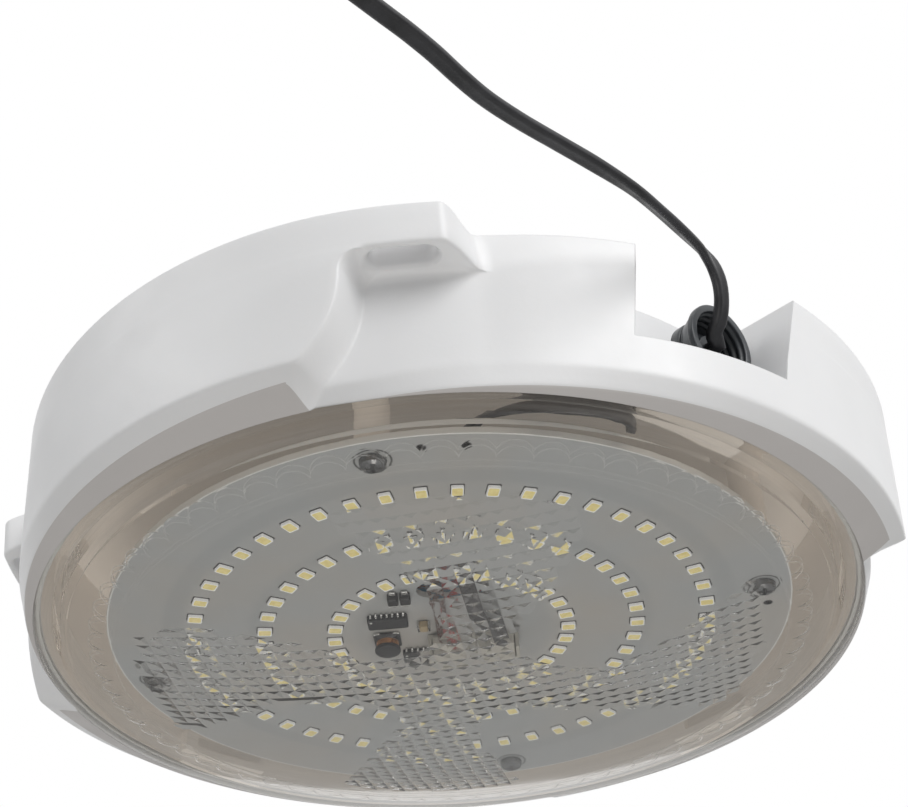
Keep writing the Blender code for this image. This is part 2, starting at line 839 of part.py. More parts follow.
def make_led_ring(name):
    """A ring of LEDs on a thin track under the board."""
    count, radius, first_angle = led_rings[name]
    face = -(board_drop + touch_gap)
    track = face - led_track
    tip = track - led_height
    half_turn = math.degrees(led_width / 2 / radius)
    inner = radius - led_length / 2
    outer = radius + led_length / 2
    angles = []
    for i in range(count):
        centre = first_angle + 360 * i / count
        angles += [centre - half_turn, centre + half_turn]
    shape = bmesh.new()
    face_in = [shape.verts.new(polar(inner, angle, face)) for angle in angles]
    face_out = [shape.verts.new(polar(outer, angle, face)) for angle in angles]
    track_in = [shape.verts.new(polar(inner, angle, track)) for angle in angles]
    track_out = [shape.verts.new(polar(outer, angle, track)) for angle in angles]
    tips_in = [shape.verts.new(polar(inner, angle, tip)) for angle in angles]
    tips_out = [shape.verts.new(polar(outer, angle, tip)) for angle in angles]
    total = len(angles)
    for i in range(total):
        j = (i + 1) % total
        shape.faces.new([face_in[i], face_in[j], face_out[j], face_out[i]])
        shape.faces.new([face_in[i], track_in[i], track_in[j], face_in[j]])
        shape.faces.new([face_out[i], face_out[j], track_out[j], track_out[i]])
        if i % 2:
            shape.faces.new([track_in[i], track_out[i], track_out[j], track_in[j]])
            continue
        shape.faces.new([tips_in[i], tips_out[i], tips_out[j], tips_in[j]])
        shape.faces.new([track_in[i], tips_in[i], tips_in[j], track_in[j]])
        shape.faces.new([track_out[i], track_out[j], tips_out[j], tips_out[i]])
        shape.faces.new([track_in[i], track_out[i], tips_out[i], tips_in[i]])
        shape.faces.new([track_in[j], tips_in[j], tips_out[j], track_out[j]])
    return mesh_object(name, shape, "led_yellow")


def make_screw(name, place, seat_drop):
    """A pan-head screw that points up, its head under a seat."""
    seat = -(seat_drop + touch_gap)
    tip = seat + screw_length
    crown = seat - screw_head_height
    profile = [(0, crown)]
    for radius_share, height_share in screw_crown_shares:
        profile.append((screw_head_radius * radius_share, crown + screw_head_height * height_share))
    profile += [(screw_head_radius, seat), (screw_shank_radius, seat)]
    profile += [(screw_shank_radius, tip - screw_shank_radius), (0, tip)]
    move = Matrix.Translation((place.x, place.y, 0))
    screw = mesh_object(name, turned(profile, screw_sides, move), "screw_steel")
    middle = Vector((place.x, place.y, crown + recess_depth / 2 - cut_overrun / 2))
    depth = recess_depth + cut_overrun
    for number, (width, length) in enumerate(((recess_length, recess_width), (recess_width, recess_length))):
        arm = block(middle, (width, length, depth))
        combine(screw, cutter(f"{name}_recess_{number}", arm), "DIFFERENCE")
    return screw


def make_board_parts():
    face = -(board_drop + touch_gap)
    for name, ((x, y), size, corner) in board_parts.items():
        slot = "capacitor_tan" if name == "filter_capacitor" else "chip_black"
        centre = (x, y, face - size[2] / 2)
        mesh_object(name, rounded_block(centre, size, corner, 2), slot)


def plug_mouth(place):
    """Where a wire meets the back of the plug in a header."""
    x, y = place
    back = y + socket_size[1] / 2 - socket_wall - touch_gap - plug_size[1]
    z = -(board_drop + touch_gap) - socket_floor - touch_gap - plug_size[2] / 2
    return Vector((x, back - touch_gap, z))


def make_connector(prefix, place):
    """A white header on the board and the plug that stands in it."""
    face = -(board_drop + touch_gap)
    x, y = place
    body = block((x, y, face - socket_size[2] / 2), socket_size)
    header = mesh_object(f"{prefix}_socket", body, "connector_white")
    depth = socket_size[2] - socket_floor + cut_overrun
    bay = (socket_size[0] - 2 * socket_wall, socket_size[1] - socket_wall + cut_overrun, depth)
    bay_y = y - (socket_wall + cut_overrun) / 2
    bay_z = face - socket_floor - depth / 2
    combine(header, cutter(f"{prefix}_bay", block((x, bay_y, bay_z), bay)), "DIFFERENCE")
    mouth = plug_mouth(place)
    middle = (x, mouth.y + touch_gap + plug_size[1] / 2, mouth.z)
    mesh_object(f"{prefix}_plug", rounded_block(middle, plug_size, socket_wall / 2, 2), "connector_white")


def smooth_route(points, spacing):
    """Points at an even spacing on a smooth curve through the given ones."""
    ends = [points[0] * 2 - points[1], *points, points[-1] * 2 - points[-2]]
    fine = []
    for i in range(1, len(ends) - 2):
        a, b, c, d = ends[i - 1 : i + 3]
        for k in range(curve_steps):
            t = k / curve_steps
            bend = (2 * a - 5 * b + 4 * c - d) * t**2 + (3 * b - a - 3 * c + d) * t**3
            fine.append((2 * b + (c - a) * t + bend) / 2)
    fine.append(points[-1])
    lengths = [0]
    for a, b in zip(fine, fine[1:]):
        lengths.append(lengths[-1] + (b - a).length)
    count = max(2, round(lengths[-1] / spacing))
    made = []
    index = 0
    for i in range(count + 1):
        target = lengths[-1] * i / count
        while index < len(lengths) - 2 and lengths[index + 1] < target:
            index += 1
        share = (target - lengths[index]) / (lengths[index + 1] - lengths[index])
        made.append(fine[index].lerp(fine[index + 1], min(1, share)))
    return made


def make_tube(name, points, diameter, slot, resolution=2):
    curve = bpy.data.curves.new(name, "CURVE")
    curve.dimensions = "3D"
    curve.bevel_depth = diameter / 2
    curve.bevel_resolution = resolution
    curve.use_fill_caps = True
    line = curve.splines.new("POLY")
    line.points.add(len(points) - 1)
    for point, place in zip(line.points, points):
        point.co = (*place, 1)
    curve.materials.append(material_of(slot))
    made = bpy.data.objects.new(name, curve)
    bpy.context.scene.collection.objects.link(made)
    return made


def cup_centre():
    """The middle of the cup's mouth, in the notch just outside the cavity."""
    return polar(cavity_radius + cup_standoff, cup_turn, -cup_drop)


def cup_axis():
    flat = polar(1, cup_angle) * math.cos(math.radians(cup_dip))
    return Vector((flat.x, flat.y, -math.sin(math.radians(cup_dip))))


def cup_place():
    """Turns +Z into the cup's axis, out of its mouth, with the mouth's centre at the origin."""
    turn = cup_axis().to_track_quat("Z", "Y").to_matrix().to_4x4()
    return Matrix.Translation(cup_centre()) @ turn


def make_socket_cup():
    bore = cup_radius - cup_wall
    floor = -cup_bore_depth
    profile = [(0, floor), (bore, floor)]
    for i in reversed(range(cup_ridges)):
        middle = -(cup_first_ridge + cup_ridge_pitch * i)
        crest = bore - cup_ridge_height
        profile += [(bore, middle - cup_ridge_foot), (crest, middle - cup_ridge_crest)]
        profile += [(crest, middle + cup_ridge_crest), (bore, middle + cup_ridge_foot)]
    edge = cup_edge
    profile += [(bore, -edge), (bore + edge, 0), (cup_radius - edge, 0), (cup_radius, -edge)]
    profile += [(cup_radius, -cup_collar), (cup_radius - edge, -cup_collar - edge)]
    profile += [(cup_shoulder_radius, -cup_cone_end), (cup_neck_radius, -cup_cone_end)]
    profile += [(cup_neck_radius, -cup_neck_end), (0, -cup_neck_end)]
    return mesh_object("socket_cup", turned(profile, cup_sides, cup_place()), "black_plastic")


def make_socket_nut():
    inner = cup_neck_radius + touch_gap
    start = -(cup_neck_end - touch_gap)
    end = start + nut_thickness
    rings = []
    place = cup_place()
    shape = bmesh.new()
    flat_turn = 360 / nut_flats
    for radius, z in ((inner, start), (nut_radius, start), (nut_radius, end), (inner, end)):
        ring = []
        for i in range(nut_flats * nut_flat_parts):
            turn = flat_turn * i / nut_flat_parts
            reach = radius
            if radius == nut_radius:
                reach = radius / math.cos(math.radians(turn % flat_turn - flat_turn / 2))
            ring.append(shape.verts.new(place @ polar(reach, turn, z)))
        rings.append(ring)
    join_rings(shape, rings, closed=True)
    return mesh_object("socket_nut", shape, "black_plastic")


def plug_levels():
    """Where the cable's plug starts and ends along the cup's axis."""
    start = -(cup_bore_depth - touch_gap)
    shoulder = start + plug_body_length
    return start, shoulder, shoulder + plug_tail_length


def make_cable_plug():
    start, shoulder, end = plug_levels()
    edge = plug_body_radius - plug_tail_radius
    profile = [(0, start), (plug_body_radius, start), (plug_body_radius, shoulder - edge / 3)]
    profile += [(plug_tail_radius, shoulder), (plug_tail_radius, end), (0, end)]
    return mesh_object("cable_plug", turned(profile, cup_sides, cup_place()), "black_plastic")


def make_cable():
    exit_point = cup_centre() + cup_axis() * (plug_levels()[2] + touch_gap)
    straight = exit_point + cup_axis() * cable_width / 2
    points = [straight] + [Vector(point) for point in cable_route] + [cable_end]
    route = [exit_point] + smooth_route(points, cable_width)
    return make_tube("solar_cable", route, cable_width, "cable_black")


def make_outlet():
    """The ceiling fitting that the lead runs into."""
    along = Vector(cable_end) - Vector(cable_route[-1])
    along.z = 0
    along.normalize()
    centre = cable_end + along * (outlet_radius + touch_gap)
    low = -outlet_height
    shoulder = low + outlet_edge
    profile = [(0, low), (outlet_face_radius, low), (outlet_shoulder_radius, shoulder)]
    profile += [(outlet_radius, shoulder + outlet_edge), (outlet_radius, 0), (0, 0)]
    outlet = turned(profile, outlet_sides, Matrix.Translation((centre.x, centre.y, 0)))
    return mesh_object("ceiling_outlet", outlet, "white_plastic")


def make_inner_lead():
    start = cup_centre() - cup_axis() * (cup_neck_end + touch_gap)
    straight = start - cup_axis() * lead_width
    end = plug_mouth(solar_socket_place)
    points = [straight] + [Vector(point) for point in lead_route] + [end - Vector((0, lead_width, 0))]
    route = [start] + smooth_route(points, lead_width * 1.5) + [end]
    return make_tube("internal_lead", route, lead_width, "cable_black")


def cell_places():
    drop = tray_boss_drop + touch_gap + tray_thickness + touch_gap + cell_radius
    return [Vector((0, battery_centre_y + side * cell_spacing / 2, -drop)) for side in (-1, 1)]


def make_cell(number):
    half = cell_length / 2
    profile = [(0, -half), (cell_radius - cell_edge, -half), (cell_radius, -half + cell_edge)]
    profile += [(cell_radius, half - cell_edge), (cell_radius - cell_edge, half)]
    tip = half + cell_button_height
    profile += [(cell_button_radius, half), (cell_button_radius, tip), (0, tip)]
    place = Matrix.Translation(cell_places()[number]) @ Matrix.Rotation(math.radians(90), 4, "Y")
    return mesh_object(f"battery_cell_{number + 1}", turned(profile, cell_sides, place), "cell_wrap")


def make_tray():
    """A cradle of a base plate with side walls that clip round the cells."""
    top = -(tray_boss_drop + touch_gap)
    base_low = top - tray_thickness
    half_width = cell_spacing / 2 + cell_radius + touch_gap + tray_wall
    clip_low = cell_places()[0].z - tray_clip_drop
    lip = tray_clip_lip
    inside = half_width - tray_wall
    lip_top = clip_low + tray_clip_height
    outline = [(-half_width, top), (half_width, top), (half_width, clip_low), (inside - lip, clip_low)]
    outline += [(inside, lip_top), (inside, base_low), (-inside, base_low), (-inside, lip_top)]
    outline += [(lip - inside, clip_low), (-half_width, clip_low)]
    rings = []
    for x in (-tray_clip_length / 2, tray_clip_length / 2):
        rings.append([Vector((x, battery_centre_y + y, z)) for y, z in outline])
    tray = mesh_object("battery_tray", loft(rings), "tray_white")
    middle = (0, battery_centre_y, (top + base_low) / 2)
    base = rounded_block(middle, (tray_length, 2 * inside, tray_thickness - face_offset), tray_wall)
    combine(tray, cutter("tray_base", base), "UNION")
    holes = []
    for place in tray_screw_places():
        low = base_low - cut_overrun
        holes.append(rod(board_hole_radius, low, top + cut_overrun, hole_sides, place.x, place.y))
    combine(tray, cutter("tray_holes", gathered(holes)), "DIFFERENCE")
    return tray


def make_strip(name, side):
    """A nickel strip across the two cells' ends."""
    reach = cell_length / 2 + touch_gap + strip_thickness / 2
    if side > 0:
        reach += cell_button_height
    middle = (side * reach, battery_centre_y, cell_places()[0].z)
    size = (strip_thickness, cell_spacing + strip_margin, strip_width)
    return mesh_object(name, block(middle, size), "nickel")


def make_battery_wires():
    plug_x, back, plug_z = plug_mouth(battery_socket_place)
    cell_z = cell_places()[0].z
    for name, slot, side in (("battery_wire_red", "wire_red", 1), ("battery_wire_black", "wire_brown", -1)):
        strip_x = side * (cell_length / 2 + 2 * touch_gap + strip_thickness + wire_diameter / 2)
        if side > 0:
            strip_x += cell_button_height
        lane = plug_x + side * wire_lane
        points = [Vector((strip_x, battery_centre_y - cell_spacing / 2, cell_z))]
        for share, (y, z) in zip(wire_out_shares, wire_out_route):
            points.append(Vector((strip_x * share, y, z)))
        points += [Vector((lane, y, z)) for y, z in wire_slot_route]
        points += [Vector((lane, back - 2 * wire_diameter, plug_z)), Vector((lane, back, plug_z))]
        make_tube(name, smooth_route(points, wire_diameter * 2), wire_diameter, slot)


def main():
    clear_scene()
    make_housing()
    make_cover()
    make_gasket()
    make_board()
    for name in led_rings:
        make_led_ring(name)
    for number, place in enumerate(screw_places()):
        make_screw(f"board_screw_{number + 1}", place, board_drop)
    make_board_parts()
    make_connector("battery", battery_socket_place)
    make_connector("solar", solar_socket_place)
    make_tray()
    for number in range(2):
        make_cell(number)
    make_strip("cell_strip_plus", 1)
    make_strip("cell_strip_minus", -1)
    for number, place in enumerate(tray_screw_places()):
        make_screw(f"tray_screw_{number + 1}", place, tray_boss_drop + touch_gap + tray_thickness)
    make_battery_wires()
    make_socket_cup()
    make_socket_nut()
    make_inner_lead()
    make_cable_plug()
    make_cable()
    make_outlet()


main()
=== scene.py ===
"""Looks of the solar ceiling light. Metres, +Z up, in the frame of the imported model."""

import json
import math

import bmesh
import bpy
import numpy as np
from mathutils import Matrix, Vector, geometry

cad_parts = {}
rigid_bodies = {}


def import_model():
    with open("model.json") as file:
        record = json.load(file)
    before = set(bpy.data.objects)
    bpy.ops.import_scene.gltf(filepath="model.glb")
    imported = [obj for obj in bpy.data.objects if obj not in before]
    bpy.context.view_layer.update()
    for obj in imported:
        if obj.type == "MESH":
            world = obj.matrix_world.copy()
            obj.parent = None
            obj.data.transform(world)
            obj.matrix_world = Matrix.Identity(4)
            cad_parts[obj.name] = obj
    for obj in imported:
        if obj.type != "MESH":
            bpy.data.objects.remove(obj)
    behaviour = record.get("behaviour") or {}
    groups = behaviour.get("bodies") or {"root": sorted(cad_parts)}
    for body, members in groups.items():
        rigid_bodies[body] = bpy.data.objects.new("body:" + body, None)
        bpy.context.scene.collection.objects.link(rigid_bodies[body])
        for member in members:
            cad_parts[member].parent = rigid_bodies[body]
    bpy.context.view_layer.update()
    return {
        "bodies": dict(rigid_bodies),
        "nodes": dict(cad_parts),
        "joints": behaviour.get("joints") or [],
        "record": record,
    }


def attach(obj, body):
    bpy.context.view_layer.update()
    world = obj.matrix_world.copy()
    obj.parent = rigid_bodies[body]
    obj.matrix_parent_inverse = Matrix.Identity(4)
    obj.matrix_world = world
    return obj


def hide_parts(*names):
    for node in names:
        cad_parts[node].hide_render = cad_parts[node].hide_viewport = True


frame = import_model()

nodes = frame["nodes"]

# Camera, solved from the three LED rings. Its frame is turned against the light's
view_turn = math.radians(8.5)
camera_right = Vector((0.99622358, -0.0693899, -0.0521884))
camera_up = Vector((0, -0.60107542, 0.7991923))
camera_back = Vector((-0.08682504, -0.79617422, -0.5988055))
camera_place = Vector((-0.03638, -0.37319, -0.20988))
lens = 67.6
sensor_width = 36
nearest_seen = 0.01

# Sizes of the housing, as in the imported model
touch_gap = 0.0003
cut_overrun = 0.002
sink = 0.0012
board_drop = 0.038
rim_drop = 0.0411
roof_thickness = 0.003
ears = 4
quarter = 90
first_ear_angle = -90
ear_starts = [first_ear_angle + quarter * ear for ear in range(ears)]
outer_radius = 0.1147
skirt_start_radius = 0.1040
skirt_start_turn = 8.5
skirt_full_turn = 81.5
growth_power = 1.5
growth_start = 0.03
wall_draft = 0.002
pocket_wall_drop = 0.0370
skirt_start_wall_drop = 0.0351
skirt_full_wall_drop = 0.0365
cone_edge_radius = 0.1024
cone_edge_growth = 0.0000835
cone_radius = 0.1014
cone_inner_radius = 0.1008
cone_slope = 0.436
step_top_turn = 6.8
step_sweep_turn = 6.8
step_top_drop = 0.015
step_full_drop = 0.0423
step_low_drop = 0.042
step_power = 2.2
step_width = 1.9
step_fillet_turn = 2.2
step_fillet_height = 0.005
ear_thickness = 0.0107
ear_flat_turn = 4.2
ear_end_lean = 1.1
ear_low_edge = 0.0013
ear_fillet = 0.0024
drum_edge = 0.0006
face_margin = 0.0001
column_step = 0.00003
slot_radius = 0.1095
slot_length = 0.0148
slot_width = 0.0056
slot_chamfer = 0.0008
cavity_radius = 0.1000
rebate_radius = 0.1018
inside_sides = 240
seat_drop = 0.0379
shell_wall = 0.0028
hollow_depth = 0.033
hollow_turns = (36, 74)
notch_drop = 0.026
notch_back_radius = 0.088
notch_top_turns = (27.5, 50.5)
notch_floor_turns = (25.9, 46.5)
notch_wall = 0.0025
board_thickness = 0.0016
boss_radius = 0.004
boss_sides = 32
pilot_sides = 16
pilot_radius = 0.0016
pilot_depth = 0.012
board_screw_radius = 0.0775
first_board_screw_angle = -98
tray_boss_drop = 0.007
tray_screw_x = 0.0395
battery_centre_y = 0.012

# Cover
dome_edge_drop = 0.0412
dome_drop = 0.055
dome_edge_radius = 0.1011
cover_wall = 0.002
flange_radius = 0.1015
flange_top_drop = 0.0392
collar_radius = 0.0973
collar_wall = 0.0019
collar_top_drop = 0.0305
first_lug_angle = -45
lug_half_turn = 6
lug_height = 0.0021
lug_radius = 0.0996
ledge_height = 0.002
ledge_radius = 0.0977
ledge_lead_turn = 7
stop_turn = 2.5
stop_gap_turn = 0.25
stop_height = 0.0032
stop_sink = 0.0002
lug_gap = 0.00004

# Prisms inside the cover: pitch, height and turn of their rows, and the plain windows between their lobes.
# The windows are outlines in millimetres, in the frame of the camera, which is turned by view_turn
prism_pitch = 0.0037
prism_height = 0.00040
prism_turn = -6.5
prism_reach = 0.078
corner_margin = 0.0005
tip_margin = 0.0008
fill_pitch = 0.0033
fill_margin = 0.001
window_spacing = 0.0012
arc_points = 400
clear_rim_radius = 0.093
plain_ring_radii = (0.0795, 0.0815, 0.084, 0.0865, 0.089, 0.0912)
plain_ring_sides = 108
last_ring_radius = 0.0935
cover_sides = 216
cover_edge = 0.0004
dome_shares = (0.985, 0.97, 0.95, 0.93, 0.9, 0.86, 0.82, 0.78, 0.73, 0.68, 0.62, 0.56)
dome_shares += (0.5, 0.43, 0.36, 0.29, 0.22, 0.15, 0.08)
windows = (
    (
        (-73, -12), (-70, -17), (-65, -19.5), (-57, -20.5), (-45, -19), (-35, -17.5), (-28, -14.5),
        (-20, -12.5), (-13, -15), (-8, -18.5), (-4.5, -24), (-6, -30), (-9, -38), (-15, -47),
        (-22, -53.5), (-29, -60), (-34, -68), (-38, -78), (-80, -60),
    ),
    (
        (-48, -56), (-40, -61), (-30, -66.5), (-18, -70.5), (-5, -72.5), (8, -72.5), (20, -69),
        (30, -64), (45, -90), (-60, -90),
    ),
    (
        (23, -86), (25, -64), (23, -54), (21, -44), (16, -34), (13, -25), (14, -17), (19, -11.5),
        (27, -7.5), (35, -6), (43, -9), (50, -15.5), (57, -23.5), (64, -32), (70, -42), (82, -50), (70, -80),
    ),
    (
        (86, 30), (72, 27), (61, 24.5), (49, 20.5), (38, 17.5), (27, 15.5), (18, 14.5), (11, 15.5),
        (8.5, 20), (8.5, 28), (10.5, 38), (14.5, 47), (18.5, 57), (23, 68), (28, 84), (70, 70),
    ),
    (
        (-86, 42), (-64, 34.5), (-57, 27.5), (-49, 19.5), (-40, 13), (-30, 10.5), (-21, 11.5), (-14.5, 15.5),
        (-13, 21), (-15, 30), (-17.7, 38), (-20.5, 49), (-23, 59), (-26, 70), (-30, 84), (-70, 72),
    ),
)
scallops = 68.0
scallop_pitch = 0.0081
scallop_arc = 0.0043
scallop_radius = 0.0842
mould_line_radius = 0.0827

# LEDs: their number, radius and first angle in each ring, and the package
led_rings = {
    "led_ring_outer": (50, 0.0635, -84.3),
    "led_ring_middle": (40, 0.0463, 11.0),
    "led_ring_inner": (30, 0.0291, 1.9),
}
board_holes = [(-0.00014, -0.0800), (0.00947, -0.07944), (0.07858, -0.00165)]
led_length = 0.0035
led_width = 0.0028
led_height = 0.0009
led_gap = 0.00004
led_corner = 0.0002
led_face_corner = 0.0003
led_face_depth = 0.0001
# The dark frame at each LED's base, its height and its lap, is painted shadow
led_shade_frame_height = 0.0001
led_shade_frame_lap = 0.0001

# Driver parts: places on the board and sizes
chips = {
    "driver_chip": ((-0.0098, 0.0080), (0.0062, 0.0048, 0.0015), 4),
    "controller_chip": ((-0.0150, -0.0095), (0.0098, 0.0060, 0.0016), 7),
}
chip_edge = 0.00025
leg_width = 0.0005
leg_reach = 0.0007
leg_thickness = 0.00035
leg_overlap = 0.0002
leg_shoulder = 0.0003
leg_edge = 0.00006
mark_size = 0.0006
mark_edge = 0.00002
mark_height = 0.00003
pad_height = 0.0005
pad_edge = 0.0001
diode_place = (-0.0112, -0.0198)
diode_size = (0.0025, 0.0036, 0.0020)
diode_spread = 0.00148
capacitor_place = (-0.0065, -0.0060)
capacitor_size = (0.0020, 0.0025, 0.0018)
capacitor_end = 0.0006
inductor_place = (-0.0161, 0.0003)
inductor_size = 0.0066
inductor_height = 0.0036
inductor_base = 0.0011
inductor_waist = 0.0024
inductor_head = 0.0032
coil_radius = 0.0028
coil_turns = 5
coil_pitch = 0.00028

# Socket cup
cup_centre = Vector((0.0677, -0.0743, -0.0130))
cup_angle = -46.5
cup_dip = 5
cup_radius = 0.0095
cup_wall = 0.0017
cup_collar = 0.0014
cup_bore_depth = 0.0085
cup_shoulder_radius = 0.0048
cup_cone_end = 0.0115
cup_neck_radius = 0.0042
cup_neck_end = 0.0192
cup_ridge_height = 0.0006
cup_ridge_pitch = 0.0019
cup_first_ridge = 0.0016
cup_ridges = 3
ridge_foot = 0.0007
ridge_crest = 0.0003
collar_step = 0.0004
cup_edge = 0.0003
plug_tail_end = 0.0036

# Leads
cable_width = 0.004
cable_thickness = 0.0022
lead_width = 0.004
lead_thickness = 0.0016
lead_sides = 28
cable_spacing = 0.0012
lead_spacing = 0.0014
cable_route = [
    (0.0660, -0.0760, -0.0117),
    (0.0672, -0.0784, -0.0104),
    (0.0679, -0.0808, -0.0084),
    (0.0681, -0.0831, -0.0061),
    (0.0677, -0.0855, -0.0042),
    (0.0666, -0.0884, -0.0029),
    (0.0649, -0.0916, -0.0024),
    (0.0628, -0.0954, -0.0023),
    (0.0590, -0.1011, -0.0023),
    (0.0547, -0.1072, -0.0023),
    (0.0489, -0.1148, -0.0023),
    (0.0411, -0.1230, -0.0023),
    (0.0335, -0.1303, -0.0023),
    (0.0262, -0.1373, -0.0023),
    (0.0200, -0.1440, -0.0023),
    (0.0154, -0.1502, -0.0023),
    (0.0111, -0.1566, -0.0023),
    (0.0069, -0.1622, -0.0023),
    (0.0031, -0.1668, -0.0023),
    (-0.0002, -0.1708, -0.0023),
    (-0.0039, -0.1753, -0.0023),
]
cable_end = Vector((-0.0077, -0.1799, -0.0023))
lead_route = [
    (0.0470, -0.0640, -0.0200),
    (0.0455, -0.0672, -0.0270),
    (0.0455, -0.0710, -0.0315),
    (0.0455, -0.0752, -0.0335),
    (0.0440, -0.0790, -0.0345),
    (0.0405, -0.0822, -0.0345),
    (0.0350, -0.0843, -0.0345),
    (0.0280, -0.0848, -0.0337),
    (0.0200, -0.0833, -0.0324),
    (0.0130, -0.0790, -0.0313),
    (0.0085, -0.0710, -0.0306),
    (0.0065, -0.0610, -0.0304),
    (0.0060, -0.0500, -0.0304),
    (0.0060, -0.0400, -0.0304),
    (0.0060, -0.0320, -0.0308),
    (0.0060, -0.0265, -0.0322),
    (0.0060, -0.0230, -0.0345),
    (0.0060, -0.0211, -0.0374),
    (0.0065, -0.0192, -0.0401),
    (0.0079, -0.0155, -0.0418),
    (0.0096, -0.0108, -0.0417),
    (0.0109, -0.0062, -0.0414),
]
lead_end = Vector((0.0115, -0.0009, -0.04123))

# Stage, with the place, size, power and colour of each lamp
floor_half = 60.0
floor_drop = 1.5
floor_colour = (0.82, 0.82, 0.81)
world_strength = 0.33
lamp_aim = Vector((0, 0, -0.02))
lamps = {
    "key_lamp": ((1.0, -1.2, 0.95), 1.3, 25.0, (1.0, 1.0, 1.0)),
    "left_lamp": ((-1.4, -0.5, 0.7), 1.0, 5.5, (1.0, 1.0, 1.0)),
    "low_lamp": ((0.1, -0.5, -1.3), 0.6, 3.2, (1.0, 0.96, 0.92)),
}


# ---------------------------------------------------------------- places


def polar(radius, angle, z=0.0):
    turn = math.radians(angle)
    return Vector((radius * math.cos(turn), radius * math.sin(turn), z))


def between(low, high, share):
    return low + (high - low) * share


def smooth_share(value):
    value = min(1.0, max(0.0, value))
    return value * value * (3 - 2 * value)


def eased(value):
    value = min(1.0, max(0.0, value))
    return 1 - (1 - value) ** growth_power

def screw_places(z=0.0):
    return [polar(board_screw_radius, first_board_screw_angle + quarter * i, z) for i in range(4)]


# ---------------------------------------------------------------- materials


def fill(tree, socket, value):
    """Links a socket to the output of a node, or gives it a value."""
    if isinstance(value, bpy.types.NodeSocket):
        tree.links.new(value, socket)
    else:
        socket.default_value = value


def add_node(tree, kind, inputs, **settings):
    """A new shader node with its settings, and its inputs by name or number."""
    node = tree.nodes.new("ShaderNode" + kind)
    for name, value in settings.items():
        setattr(node, name, value)
    for name, value in inputs.items():
        fill(tree, node.inputs[name], value)
    return node


class Look:
    """A Principled material with short names for the nodes it uses."""

    def __init__(self, name, colour, roughness, metallic=0.0):
        self.material = bpy.data.materials.new(name)
        self.material.use_nodes = True
        self.tree = self.material.node_tree
        self.shader = self.tree.nodes["Principled BSDF"]
        self.place = self.add("TexCoord").outputs["Object"]
        self.put("Base Color", (*colour, 1))
        self.put("Roughness", roughness)
        self.put("Metallic", metallic)

    def put(self, socket, value):
        fill(self.tree, self.shader.inputs[socket], value)

    def add(self, kind, inputs=None, **settings):
        return add_node(self.tree, kind, inputs or {}, **settings)

    def math(self, operation, a, b=0.0):
        return self.add("Math", {0: a, 1: b}, operation=operation).outputs[0]

    def sum(self, a, b):
        return self.math("ADD", a, b)

    def times(self, a, b):
        return self.math("MULTIPLY", a, b)

    def noise(self, size, detail=3.0, roughness=0.5, stretch=(1, 1, 1)):
        place = self.add("Mapping", {"Vector": self.place, "Scale": stretch}).outputs[0]
        inputs = {"Vector": place, "Scale": 1 / size, "Detail": detail, "Roughness": roughness}
        return self.add("TexNoise", inputs).outputs["Fac"]

    def round_place(self):
        """Radius, share of a whole turn, and height of a point, about the light's axis."""
        x, y, z = self.add("SeparateXYZ", {0: self.place}).outputs
        radius = self.math("SQRT", self.sum(self.times(x, x), self.times(y, y)))
        return radius, self.math("DIVIDE", self.math("ARCTAN2", y, x), 2 * math.pi), z

    def near(self, marks):
        """Distance to the nearest of some points."""
        nearest = None
        for mark in marks:
            distance = self.add("VectorMath", {0: self.place, 1: mark}, operation="DISTANCE").outputs["Value"]
            nearest = distance if nearest is None else self.math("MINIMUM", nearest, distance)
        return nearest

    def streaks(self, across, along, high):
        """Noise drawn out around the axis: its cells per metre, per turn and per metre of height."""
        scaled = [self.times(value, scale) for value, scale in zip(self.round_place(), (across, along, high))]
        place = self.add("CombineXYZ", dict(enumerate(scaled))).outputs[0]
        return self.add("TexNoise", {"Vector": place, "Scale": 1, "Detail": 3}).outputs["Fac"]

    def ranged(self, value, low, high, start=0.3, end=0.7):
        inputs = {"Value": value, "From Min": start, "From Max": end, "To Min": low, "To Max": high}
        return self.add("MapRange", inputs).outputs[0]

    def mixed(self, factor, first, second):
        first, second = ((*end, 1) if isinstance(end, tuple) else end for end in (first, second))
        return self.add("Mix", {"Factor": factor, 6: first, 7: second}, data_type="RGBA").outputs[2]

    def paint(self, noise, first, second):
        self.put("Base Color", self.mixed(self.ranged(noise, 0, 1), first, second))

    def gloss(self, noise, low, high):
        self.put("Roughness", self.ranged(noise, low, high))

    def glow(self, colour, strength):
        self.put("Emission Color", (*colour, 1))
        self.put("Emission Strength", strength)

    def bump(self, height, distance, edge=0.0):
        inputs = {"Distance": distance, "Height": height}
        if edge:
            inputs["Normal"] = self.add("Bevel", {"Radius": edge}, samples=6).outputs[0]
        self.put("Normal", self.add("Bump", inputs).outputs[0])


def shade(colour, factor):
    return tuple(min(1.0, value * factor) for value in colour)


def moulded(name, colour, roughness, grain, depth, spread):
    """Moulded plastic, rubber or metal: faint clouds of colour, a fine grain and worn gloss."""
    look = Look(name, colour, roughness)
    look.paint(look.noise(0.03, 4), shade(colour, 1 - spread), shade(colour, 1 + spread / 2))
    look.gloss(look.noise(0.012, 5, 0.6), roughness * 0.8, roughness * 1.25)
    look.bump(look.noise(grain, 2), depth, 0.0003)
    return look


